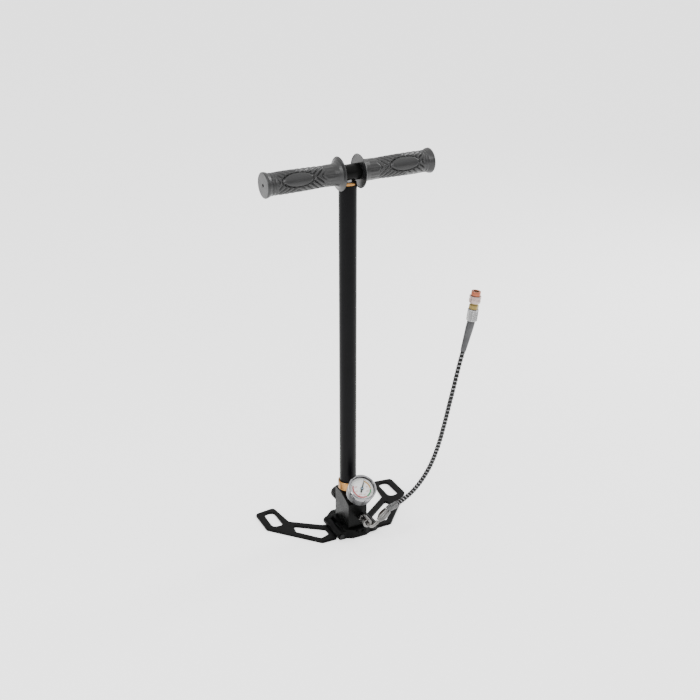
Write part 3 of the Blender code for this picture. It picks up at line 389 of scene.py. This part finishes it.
def tinted(tree, source, dark, light):
    """The noise as a colour between dark and light."""
    ramp = tree.nodes.new("ShaderNodeValToRGB")
    ramp.color_ramp.elements[0].position = TINT_FROM
    ramp.color_ramp.elements[0].color = (*dark, 1)
    ramp.color_ramp.elements[1].position = TINT_TO
    ramp.color_ramp.elements[1].color = (*light, 1)
    tree.links.new(source, ramp.inputs["Fac"])
    return ramp.outputs["Color"]


def bumped(tree, shader, source, strength, distance):
    bump = tree.nodes.new("ShaderNodeBump")
    bump.inputs["Strength"].default_value = strength
    bump.inputs["Distance"].default_value = distance
    tree.links.new(source, bump.inputs["Height"])
    tree.links.new(bump.outputs["Normal"], shader.inputs["Normal"])


def coated(name, dark, light, rough, specular=0.5, grain=900.0, bump=0.12):
    """A painted, moulded or cast surface: cloudy colour, uneven gloss and a fine grain."""
    mat, tree, shader = principled(name, 0.0, specular)
    cloud = noise_at(tree, 22.0, 5.0)
    tree.links.new(tinted(tree, cloud, dark, light), shader.inputs["Base Color"])
    tree.links.new(spread(tree, noise_at(tree, 60.0, 6.0), *rough), shader.inputs["Roughness"])
    bumped(tree, shader, noise_at(tree, grain, 2.0), bump, GRAIN_DEEP)
    return mat


def metal(name, dark, light, rough, stretch=(1, 1, 1), bump=0.05, grain=420.0):
    """A bare metal: tool marks drawn out along one direction, and a little tarnish."""
    mat, tree, shader = principled(name, 1.0)
    marks = noise_at(tree, grain, 3.0, stretch)
    tree.links.new(tinted(tree, noise_at(tree, 45.0, 5.0), dark, light), shader.inputs["Base Color"])
    tree.links.new(spread(tree, marks, *rough), shader.inputs["Roughness"])
    bumped(tree, shader, marks, bump, MARKS_DEEP)
    return mat


def glass():
    """A thin clear lens: mostly see-through, so that light reaches the dial under it."""
    mat, tree, shader = principled("lens_glass", 0.0, 0.8)
    shader.inputs["Base Color"].default_value = LENS_TINT
    shader.inputs["Alpha"].default_value = LENS_ALPHA
    tree.links.new(spread(tree, noise_at(tree, 30.0, 4.0), 0.0, 0.03), shader.inputs["Roughness"])
    return mat


TUBE_BLACK = coated("tube_black", (0.0018, 0.0018, 0.0021), (0.0030, 0.0030, 0.0034), (0.28, 0.38), 0.07,
                    1400.0, 0.012)
BLOCK_BLACK = coated("block_black", (0.0016, 0.0017, 0.0016), (0.0032, 0.0034, 0.0032), (0.22, 0.36), 0.07,
                     1100.0, 0.06)
CAST_BLACK = coated("cast_black", (0.0014, 0.0014, 0.0014), (0.0030, 0.0030, 0.0030), (0.28, 0.42), 0.045,
                    700.0, 0.12)
PIN_BLACK = coated("pin_black", (0.0030, 0.0030, 0.0030), (0.0060, 0.0060, 0.0060), (0.26, 0.40), 0.16,
                   900.0, 0.1)
GRIP_RUBBER = coated("grip_rubber", (0.0055, 0.0055, 0.0058), (0.0110, 0.0110, 0.0115), (0.28, 0.40), 0.46,
                     1600.0, 0.10)
SEAL_RUBBER = coated("seal_rubber", (0.008, 0.008, 0.008), (0.014, 0.014, 0.014), (0.55, 0.7), 0.3)
HOSE_RUBBER = coated("hose_rubber", (0.0025, 0.0025, 0.0025), (0.0050, 0.0050, 0.0050), (0.4, 0.55), 0.15)
BRASS = metal("brass", (0.22, 0.105, 0.032), (0.46, 0.25, 0.090), (0.18, 0.36), (1, 1, 6))
PALE_BRASS = metal("pale_brass", (0.11, 0.080, 0.026), (0.30, 0.225, 0.085), (0.12, 0.26), (1, 1, 6))
COPPER = metal("copper", (0.20, 0.055, 0.030), (0.50, 0.19, 0.11), (0.14, 0.30), (1, 1, 6))
STEEL = metal("steel", (0.42, 0.42, 0.43), (0.58, 0.58, 0.59), (0.16, 0.32), (1, 1, 8))
SPRING_STEEL = metal("spring_steel", (0.13, 0.13, 0.135), (0.24, 0.24, 0.245), (0.16, 0.26))
CHROME = metal("chrome", (0.17, 0.17, 0.178), (0.28, 0.28, 0.288), (0.08, 0.16), bump=0.02)
BRUSHED = metal("brushed_case", (0.050, 0.050, 0.052), (0.100, 0.100, 0.102), (0.24, 0.38), (1, 9, 9))
NICKEL = metal("nickel", (0.080, 0.079, 0.076), (0.20, 0.195, 0.19), (0.16, 0.30))
KNURLED_STEEL = metal("knurled_steel", (0.24, 0.24, 0.24), (0.40, 0.40, 0.40), (0.24, 0.38))
MESH_STEEL = metal("mesh_steel", (0.075, 0.075, 0.075), (0.19, 0.19, 0.19), (0.22, 0.36))
ROSE_NICKEL = metal("rose_nickel", (0.22, 0.155, 0.142), (0.50, 0.42, 0.40), (0.10, 0.22))
DARK_STEEL = metal("dark_steel", (0.045, 0.045, 0.047), (0.080, 0.080, 0.082), (0.28, 0.38), (1, 1, 0.2))
PISTON_STEEL = metal("piston_steel", (0.150, 0.150, 0.153), (0.185, 0.185, 0.188), (0.10, 0.16), bump=0.02)
DIAL_WHITE = coated("dial_white", (0.84, 0.84, 0.83), (0.92, 0.92, 0.91), (0.4, 0.55), 0.3, 900.0, 0.03)
INK_BLACK = coated("ink_black", (0.010, 0.010, 0.010), (0.018, 0.018, 0.018), (0.35, 0.5))
INK_RED = coated("ink_red", (0.40, 0.016, 0.024), (0.50, 0.030, 0.040), (0.35, 0.5))
INK_PINK = coated("ink_pink", (0.40, 0.07, 0.08), (0.50, 0.11, 0.12), (0.35, 0.5))
INK_GREEN = coated("ink_green", (0.030, 0.20, 0.065), (0.050, 0.28, 0.095), (0.35, 0.5))
INK_AMBER = coated("ink_amber", (0.50, 0.26, 0.045), (0.60, 0.34, 0.075), (0.35, 0.5))
HUB_BLUE = coated("hub_blue", (0.20, 0.32, 0.44), (0.30, 0.42, 0.54), (0.25, 0.35))
LENS_GLASS = glass()


# Camera, floor and light --------------------------------------------------

def make_camera():
    across = Vector((math.cos(CAMERA_AZIMUTH), -math.sin(CAMERA_AZIMUTH), 0))
    ahead = Vector((math.sin(CAMERA_AZIMUTH), math.cos(CAMERA_AZIMUTH), 0))
    look = ahead * math.cos(CAMERA_DROP) - Vector((0, 0, math.sin(CAMERA_DROP)))
    rot = Matrix((across, across.cross(look), -look)).transposed()
    data = bpy.data.cameras.new("camera")
    data.lens = LENS
    data.sensor_width = SENSOR
    data.sensor_height = SENSOR
    data.clip_end = 60
    cam = bpy.data.objects.new("camera", data)
    cam.matrix_world = Matrix.Translation(CAMERA_AT) @ rot.to_4x4()
    bpy.context.scene.collection.objects.link(cam)
    bpy.context.scene.camera = cam


def softbox(name, at, aim, size, power):
    data = bpy.data.lights.new(name, "AREA")
    data.shape = "RECTANGLE"
    data.size, data.size_y = size
    data.energy = power
    lamp = bpy.data.objects.new(name, data)
    lamp.location = at
    lamp.rotation_euler = (Vector(aim) - Vector(at)).to_track_quat("-Z", "Y").to_euler()
    bpy.context.scene.collection.objects.link(lamp)


def make_stage():
    bm = bmesh.new()
    bmesh.ops.create_circle(bm, cap_ends=True, radius=FLOOR_R, segments=64)
    mesh = bpy.data.meshes.new("floor")
    bm.to_mesh(mesh)
    bm.free()
    floor = bpy.data.objects.new("floor", mesh)
    bpy.context.scene.collection.objects.link(floor)
    mat, tree, shader = principled("floor", 0.0, 0.0)
    shader.inputs["Base Color"].default_value = (FLOOR_PALE, FLOOR_PALE, FLOOR_PALE, 1)
    shader.inputs["Roughness"].default_value = 1.0
    shader.inputs["Emission Color"].default_value = (1, 1, 1, 1)
    shader.inputs["Emission Strength"].default_value = FLOOR_GLOW
    mesh.materials.append(mat)
    bpy.context.scene.world = make_sky()
    softbox("key", (-1.7, -0.5, 1.5), (0, 0, 0.4), (0.6, 1.6), 24)
    softbox("rim", (1.6, 0.3, 1.2), (0, 0, 0.35), (0.4, 1.6), 20)
    softbox("front", (-0.2, -1.8, 1.9), (0, 0, 0.15), (0.7, 0.4), 10)


def make_sky():
    """A white sky, dimmer towards the horizon."""
    world = bpy.data.worlds.new("world")
    world.use_nodes = True
    tree = world.node_tree
    coords = tree.nodes.new("ShaderNodeTexCoord")
    parts = tree.nodes.new("ShaderNodeSeparateXYZ")
    rise = tree.nodes.new("ShaderNodeMapRange")
    rise.inputs["From Min"].default_value = 0.0
    rise.inputs["From Max"].default_value = SKY_RISE
    rise.inputs["To Min"].default_value = SKY_LOW
    rise.inputs["To Max"].default_value = SKY_HIGH
    tree.links.new(coords.outputs["Generated"], parts.inputs["Vector"])
    tree.links.new(parts.outputs["Z"], rise.inputs["Value"])
    tree.links.new(rise.outputs["Result"], tree.nodes["Background"].inputs["Strength"])
    tree.nodes["Background"].inputs["Color"].default_value = (1, 1, 1, 1)
    return world


# Hose and its fittings ----------------------------------------------------

def make_hose():
    line = [Vector((x, HOSE_Y, z)) for x, z in HOSE_ROUTE]
    points = smooth_route(line, 4.0)
    curve = bpy.data.curves.new("pressure_hose", "CURVE")
    curve.dimensions = "3D"
    curve.bevel_depth = CORE_R * MM
    curve.bevel_resolution = 6
    curve.use_fill_caps = True
    spline = curve.splines.new("POLY")
    spline.points.add(len(points) - 1)
    for knot, at in zip(spline.points, points):
        knot.co = (*(at * MM), 1.0)
    spline.use_smooth = True
    hose = bpy.data.objects.new("pressure_hose", curve)
    bpy.context.scene.collection.objects.link(hose)
    curve.materials.append(HOSE_RUBBER)
    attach(hose, "base")
    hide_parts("hose")
    coil = winding(points, HOSE_R - COIL_WIRE, COIL_WIRE, COIL_PITCH, COIL_PITCH_END)
    armour = place_piece("hose_spring", coil, SPRING_STEEL, "base", "steel")
    length = sum((b - a).length for a, b in zip(points, points[1:])) * MM
    return hose, armour, length


def diamond(count, pitch, depth):
    """Knurl relief: crossed ridges over a turned surface."""
    def relief(angle, height, radius=0.0):
        a = math.sin(angle * count + height * TURN / pitch)
        b = math.sin(angle * count - height * TURN / pitch)
        return depth * (max(a, b) - 1)
    return relief


def nut_flutes(angle, height, radius):
    """Shallow flutes down the swivel nut's grip."""
    inside = radius > 6.5 and FLUTE_FROM < height < FLUTE_TO
    return -FLUTE_DEEP * (0.5 + 0.5 * math.cos(FLUTES * angle)) ** 2 if inside else 0.0


def ferrule_crimps(angle, height, radius):
    """Dents pressed into the middle of the hose ferrule."""
    middle = max(0.0, math.sin(math.pi * height / FERRULE_LONG))
    return -CRIMP_DEEP * (0.5 + 0.5 * math.cos(CRIMPS * angle)) ** 3 * middle


def guard_facets(angle, height, radius):
    """Soft flats along the hose guard."""
    return -FACET_DEEP * (0.5 + 0.5 * math.cos(FACETS * angle)) if radius > 4 else 0.0


def knob_ribs(angle, height, radius):
    """Grip ribs round the bleed wheel."""
    return -RIB_DEEP * (0.5 - 0.5 * math.cos(KNOB_RIBS * angle)) if radius > KNOB_R - 1 else 0.0


def make_fittings():
    along = frame_at((OUTLET_X, 0, OUTLET_Z), (0, -1, 0), (1, 0, 0))
    adapter = refined("outlet_adapter", "outlet_union", 0.35, NICKEL, "base", "nickel")
    nut = eased(((NUT_BORE_R, NUT_FROM), (NUT_R, NUT_FROM), (NUT_R, NUT_TO), (NUT_BORE_R, NUT_TO)), 0.7)
    swivel = place_piece("swivel_nut", turned(split_long(nut, 0.6), along, 180, nut_flutes), NICKEL, "base",
                         "nickel", "outlet_nut")
    bend = swept(smooth_route(ELBOW_ROUTE, 0.8), ELBOW_R)
    elbow = place_piece("outlet_tube", bend, NICKEL, "base", "nickel", "outlet_elbow")
    shape = [(0, 0), *((r, s) for s, r in FERRULE_SHAPE), (0, FERRULE_LONG)]
    place = frame_at(FERRULE_FROM, FERRULE_TO - FERRULE_FROM, (0, 1, 0))
    crimped = turned(split_long(eased(shape, 1.2), 0.6), place, 128, ferrule_crimps)
    ferrule = place_piece("crimped_ferrule", crimped, NICKEL, "base", "nickel", "hose_ferrule")
    mesh = swept(smooth_route(SLEEVE_ROUTE, 0.3), SLEEVE_R, 144, diamond(16, 3.4, 0.35))
    sleeve = place_piece("mesh_sleeve", mesh, MESH_STEEL, "base", "braid", "hose_sleeve")
    return [adapter, swivel, elbow, ferrule, sleeve]


def make_coupler():
    line = TAIL_TO - TAIL_FROM
    tail = ((0, 0), (TAIL_R0, 0), (TAIL_R0 + 0.4, 3.0), (TAIL_R1, line.length * 0.8), (TAIL_R1, line.length),
            (0, line.length))
    place = frame_at(TAIL_FROM, line, (0, 1, 0))
    guard = turned(split_long(eased(tail, 0.5), 2.0), place, FINE, guard_facets)
    pieces = [place_piece("hose_guard", guard, DARK_STEEL, "base", "braid", "hose_end_sleeve")]
    axis = Vector((math.sin(COUPLER_TILT), 0, math.cos(COUPLER_TILT)))
    place = frame_at(COUPLER_FROM, axis, (0, 1, 0))
    knurl = diamond(26, 2.4, 0.32)

    def grip(angle, height, radius):
        return knurl(angle, height) if radius > STOCK_R - 0.1 and KNURL_FROM < height < KNURL_TO else 0.0

    ferrule = eased(((0, 0), (STOCK_R, 0), (STOCK_R, STOCK_LONG), (0, STOCK_LONG)), 1.4)
    pieces.append(place_piece("knurled_ferrule", turned(split_long(ferrule, 0.35), place, 208, grip),
                              KNURLED_STEEL, "base", "nickel", "coupler_ferrule"))
    pieces.append(refined("coupler_body", "coupler_stock", 0.3, PALE_BRASS, "base", "brass"))
    cap = eased(CAP_SECTION, 0.7)
    pieces.append(place_piece("coupler_nose", turned(cap, place), COPPER, "base", "copper", "coupler_cap"))
    collar = eased(COLLAR_SECTION, 0.4)
    place_piece("release_collar", turned(collar, place), ROSE_NICKEL, "collar", "steel", "coupler_collar")
    return pieces


# Cylinder and handle ------------------------------------------------------

def make_cylinder():
    tube = eased(((CYL_BORE_R, CYL_LOW), (CYL_R, CYL_LOW), (CYL_R, CYL_HIGH), (CYL_BORE_R, CYL_HIGH)), 0.5)
    place_piece("cylinder_tube", turned(tube, UP, 128), TUBE_BLACK, "base", "black_tube", "outer_cylinder")
    gland = eased(((GLAND_BORE_R, GLAND_LOW), (GLAND_R, GLAND_LOW), (GLAND_R, GLAND_HIGH - GLAND_CHAMFER),
                   (GLAND_R - GLAND_CHAMFER, GLAND_HIGH), (WIPER_OUT + WIPER_GAP, GLAND_HIGH),
                   (WIPER_OUT + WIPER_GAP, WIPER_LOW - WIPER_GAP),
                   (GLAND_BORE_R, WIPER_LOW - WIPER_GAP)), 0.3)
    place_piece("gland_nut", turned(gland, UP), BRASS, "base", "brass", "top_gland")
    piston = eased(((PISTON_BORE_R, PISTON_LOW), (PISTON_R, PISTON_LOW), (PISTON_R, PISTON_HIGH),
                    (PISTON_BORE_R, PISTON_HIGH)), 0.3)
    place_piece("piston_sleeve", turned(piston, UP), PISTON_STEEL, "handle", "steel", "piston_tube")
    refined("lower_nut", "cylinder_nut", 0.5, BRASS, "base", "brass")


def grip_relief(place_angle):
    """Moulded pattern: an oval pad each side, ringed by a groove, with chevrons between the pads."""
    def relief(angle, along, radius):
        if not PATTERN_IN - 16 < along < PATTERN_OUT + 8 or radius < 15.5:
            return 0.0
        turn = (angle - place_angle + math.pi / 2) % math.pi - math.pi / 2
        arc = turn * radius
        oval = math.sqrt(((along - PAD_MID) / PAD_LONG) ** 2 + (arc / PAD_WIDE) ** 2)
        ring = math.exp(-((oval - RING_AT) / RING_WIDE) ** 2)
        if oval < 1.0:
            return PAD_DOME * min(1.0, (1.0 - oval) * 8) - GROOVE_DEEP * ring
        fade_in = min(1.0, max(0.0, (along - PATTERN_IN) / 8))
        fade = fade_in * min(1.0, max(0.0, (PATTERN_OUT - along) / 3))
        phase = (abs(along - PAD_MID) - CHEVRON_SLOPE * abs(arc)) / CHEVRON_PITCH
        near = abs(phase - round(phase)) * CHEVRON_PITCH
        stripe = math.exp(-(near / STRIPE_WIDE) ** 2)
        soft_ridge = 0.22 * math.cos(arc * 1.1) * max(0.0, 1 - abs(along - 36) / 12)
        return -GROOVE_DEEP * max(ring, 0.85 * stripe * fade) + soft_ridge
    return relief


def make_grip(name, side, node):
    yaw = Vector((math.cos(HANDLE_YAW), math.sin(HANDLE_YAW), 0)) * side
    place = frame_at(HANDLE_MID, yaw, (0, 1, 0))
    facing = Vector((0, -math.cos(PAD_LIFT), math.sin(PAD_LIFT)))
    pad = math.atan2(facing.dot(place.col[1].to_3d()), facing.dot(place.col[0].to_3d()))
    section = [(GRIP_BORE_R, GRIP_IN + FLANGE_DISH), (FLANGE_R - 2, GRIP_IN + FLANGE_DISH),
               (FLANGE_R - 1.4, GRIP_IN), (FLANGE_R - 0.5, GRIP_IN), (FLANGE_R, GRIP_IN + 0.6)]
    section += [(radius, x) for x, radius in GRIP_SKIN]
    section += [(END_R, GRIP_OUT - 2), (END_R, GRIP_OUT - 0.8), (END_R - 0.8, GRIP_OUT),
                (END_HOLE_R, GRIP_OUT), (END_HOLE_R, GRIP_OUT - END_T), (GRIP_BORE_R, GRIP_OUT - END_T)]
    mesh = turned(split_long(eased(section, 0.5, 3), 0.6), place, 220, grip_relief(pad))
    place_piece(name, mesh, GRIP_RUBBER, "handle", "grip_rubber", node)


def make_handle():
    refined("handle_crossbar", "crossbar", 0.6, BLOCK_BLACK, "handle", "crossbar")
    make_grip("handle_grip_left", -1, "grip_left")
    make_grip("handle_grip_right", 1, "grip_right")


# Block, base and foot plates ----------------------------------------------

def make_body():
    refined("pump_block", "valve_block", 0.45, BLOCK_BLACK, "base", "black_block")
    refined("base_casting", "stirrup_base", 0.4, CAST_BLACK, "base", "black_casting")
    refined("foot_plate_left", "tread_plate_left", 0.4, CAST_BLACK, "foot_left", "black_casting")
    refined("foot_plate_right", "tread_plate_right", 0.4, CAST_BLACK, "foot_right", "black_casting")
    along = frame_at((BLEED_X, 0, BLEED_Z), (0, 1, 0), (1, 0, 0))
    knob = eased(((0, KNOB_NEAR), (KNOB_R, KNOB_NEAR), (KNOB_R, KNOB_FAR), (KNOB_R - 3.5, KNOB_FAR),
                  (KNOB_R - 4.3, KNOB_FAR - KNOB_DISH), (0, KNOB_FAR - KNOB_DISH)), 0.8)
    wheel = turned(split_long(knob, 1.0), along, 240, knob_ribs)
    stem = turned(STEM_SECTION, along)
    place_piece("bleed_wheel", merged([wheel, stem]), BLOCK_BLACK, "bleed_screw", "black_block",
                "bleed_knob")


# Gauge --------------------------------------------------------------------

def number(text, at, height, place, turn):
    """A printed figure on the dial, as a mesh just above its face."""
    curve = bpy.data.curves.new("figure", "FONT")
    curve.body = text
    curve.size = height
    curve.align_x = "CENTER"
    curve.align_y = "CENTER"
    curve.extrude = 0.03
    obj = bpy.data.objects.new("figure", curve)
    bpy.context.scene.collection.objects.link(obj)
    bpy.context.view_layer.update()
    mesh = bpy.data.meshes.new_from_object(obj.evaluated_get(bpy.context.evaluated_depsgraph_get()))
    bpy.data.objects.remove(obj)
    spot = place @ Matrix.Translation((at[0], at[1], DIAL_Z + 0.07)) @ Matrix.Rotation(turn, 4, "Z")
    mesh.transform(Matrix.Scale(MM, 4) @ spot)
    return mesh


def make_gauge():
    normal = Vector((0, -math.cos(FACE_TILT), math.sin(FACE_TILT)))
    place = frame_at(FACE, normal, (1, 0, 0))
    case = eased(((STEM_HOLE_R, CASE_BACK), (CASE_R, CASE_BACK), (CASE_R, CASE_FRONT),
                  (CASE_R - CASE_T, CASE_FRONT), (CASE_R - CASE_T, CASE_BACK + CASE_T),
                  (STEM_HOLE_R, CASE_BACK + CASE_T)), 1.6)
    place_piece("gauge_cup", turned(case, place, 128), BRUSHED, "base", "gauge_steel", "gauge_case")
    bezel = eased(((BEZEL_BORE_R, BEZEL_BACK), (BEZEL_R - 0.5, BEZEL_BACK), (BEZEL_R, BEZEL_BACK + 1.0),
                   (BEZEL_R, BEZEL_FRONT - 1.6), (BEZEL_R - 1.6, BEZEL_FRONT), (LIP_R + 1.2, BEZEL_FRONT),
                   (LIP_R, 0.3), (BEZEL_BORE_R, 0.3)), 0.7)
    place_piece("gauge_ring", turned(bezel, place, 128), CHROME, "base", "gauge_steel", "gauge_bezel")
    lens = eased(((0, -LENS_T), (LENS_R, -LENS_T), (LENS_R, 0), (0, 0)), 0.3)
    place_piece("gauge_window", turned(lens, place, 96), LENS_GLASS, "base", "clear_lens", "gauge_lens")
    dial = eased(((DIAL_HOLE_R, DIAL_Z - 0.6), (DIAL_R, DIAL_Z - 0.6), (DIAL_R, DIAL_Z),
                  (DIAL_HOLE_R, DIAL_Z)), 0.1)
    place_piece("dial_face", turned(dial, place, 96), DIAL_WHITE, "base", "dial_white", "gauge_dial")
    low, high = DIAL_Z - 0.02, DIAL_Z + 0.08
    third = SWEEP / 3
    bands = (("dial_amber_arc", INK_AMBER, 0.0, 0.75), ("dial_green_arc", INK_GREEN, 0.78, 1.45),
             ("dial_red_arc", INK_RED, 1.48, 3.0))
    for name, ink, start, end in bands:
        mesh = arc_band(BAND_IN, BAND_OUT, NEEDLE_REST + start * third, NEEDLE_REST + end * third, low, high,
                        place)
        place_piece(name, mesh, ink, "base", "dial_white")
    ticks, figures = [], []
    for k in range(DIVISIONS + 1):
        a = NEEDLE_REST + SWEEP * k / DIVISIONS
        inner, outer, half = SHORT_TICK if k % LONG_EVERY else LONG_TICK
        ticks.append(arc_band(inner, outer, a - half, a + half, low, high, place, 2))
    for k in range(FIGURES + 1):
        a = NEEDLE_REST + SWEEP * k / FIGURES
        at = (FIGURE_AT * math.sin(a), FIGURE_AT * math.cos(a))
        figures.append(number(str(FIGURE_STEP * k), at, FIGURE_HIGH, place, FIGURE_TURN))
    place_piece("dial_marks", merged(ticks), INK_BLACK, "base", "dial_white")
    place_piece("dial_figures", merged(figures), INK_PINK, "base", "dial_white")
    make_needle(place @ Matrix.Rotation(-NEEDLE_REST, 4, "Z"))


def make_needle(place):
    half = NEEDLE_HALF
    arrow = [(-half, -NEEDLE_TAIL), (half, -NEEDLE_TAIL), (half * 0.8, -HUB_R), (half * 0.9, HUB_R),
             (0.22, NEEDLE_LONG), (-0.22, NEEDLE_LONG), (-half * 0.9, HUB_R), (-half * 0.8, -HUB_R)]
    blade = sheet_of(arrow, NEEDLE_Z, NEEDLE_Z + 0.5, place)
    hub = ((0, NEEDLE_Z - 0.2), (HUB_R + 0.5, NEEDLE_Z - 0.2), (HUB_R + 0.5, NEEDLE_Z + 0.8),
           (0, NEEDLE_Z + 0.8))
    disc = turned(eased(hub, 0.2), place, 48)
    shaft = turned([(0, DIAL_Z - 3), (1.1, DIAL_Z - 3), (1.1, NEEDLE_Z), (0, NEEDLE_Z)], place, 32)
    place_piece("pointer_blade", merged([blade, disc, shaft]), INK_BLACK, "pointer", "pointer_black",
                "gauge_pointer")
    button = ((0, NEEDLE_Z + 0.8), (1.3, NEEDLE_Z + 0.8), (1.3, NEEDLE_Z + 1.5), (0, NEEDLE_Z + 1.5))
    cap = turned(eased(button, 0.3), place, 32)
    place_piece("pointer_cap", cap, HUB_BLUE, "pointer", "pointer_black")


# Pieces that keep their CAD shape -----------------------------------------

def dress(node, look):
    """Gives a CAD node that keeps its shape a better material."""
    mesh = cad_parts[node].data
    mesh.materials.clear()
    mesh.materials.append(look)


def dress_rest():
    looks = (
        (PIN_BLACK, ("hinge_pin_left", "hinge_pin_right")),
        (STEEL, ("base_screw_front", "base_screw_rear", "inner_tube", "plunger_rod")),
        (CAST_BLACK, ("apron_screw_left", "apron_screw_right")),
        (CHROME, ("check_valve_ball",)),
        (SPRING_STEEL, ("check_valve_spring",)),
        (SEAL_RUBBER, ("gland_wiper", "second_stage_seal", "piston_seal", "plunger_seal", "bleed_seal",
                       "coupler_seal")),
        (BRASS, ("second_stage_head", "piston_head", "gauge_stem", "gauge_movement")),
    )
    for look, nodes in looks:
        for node in nodes:
            dress(node, look)


make_camera()
make_stage()
HOSE, ARMOUR, HOSE_LENGTH = make_hose()
FITTINGS = make_fittings()
COUPLER = make_coupler()
make_cylinder()
make_handle()
make_body()
make_gauge()
dress_rest()
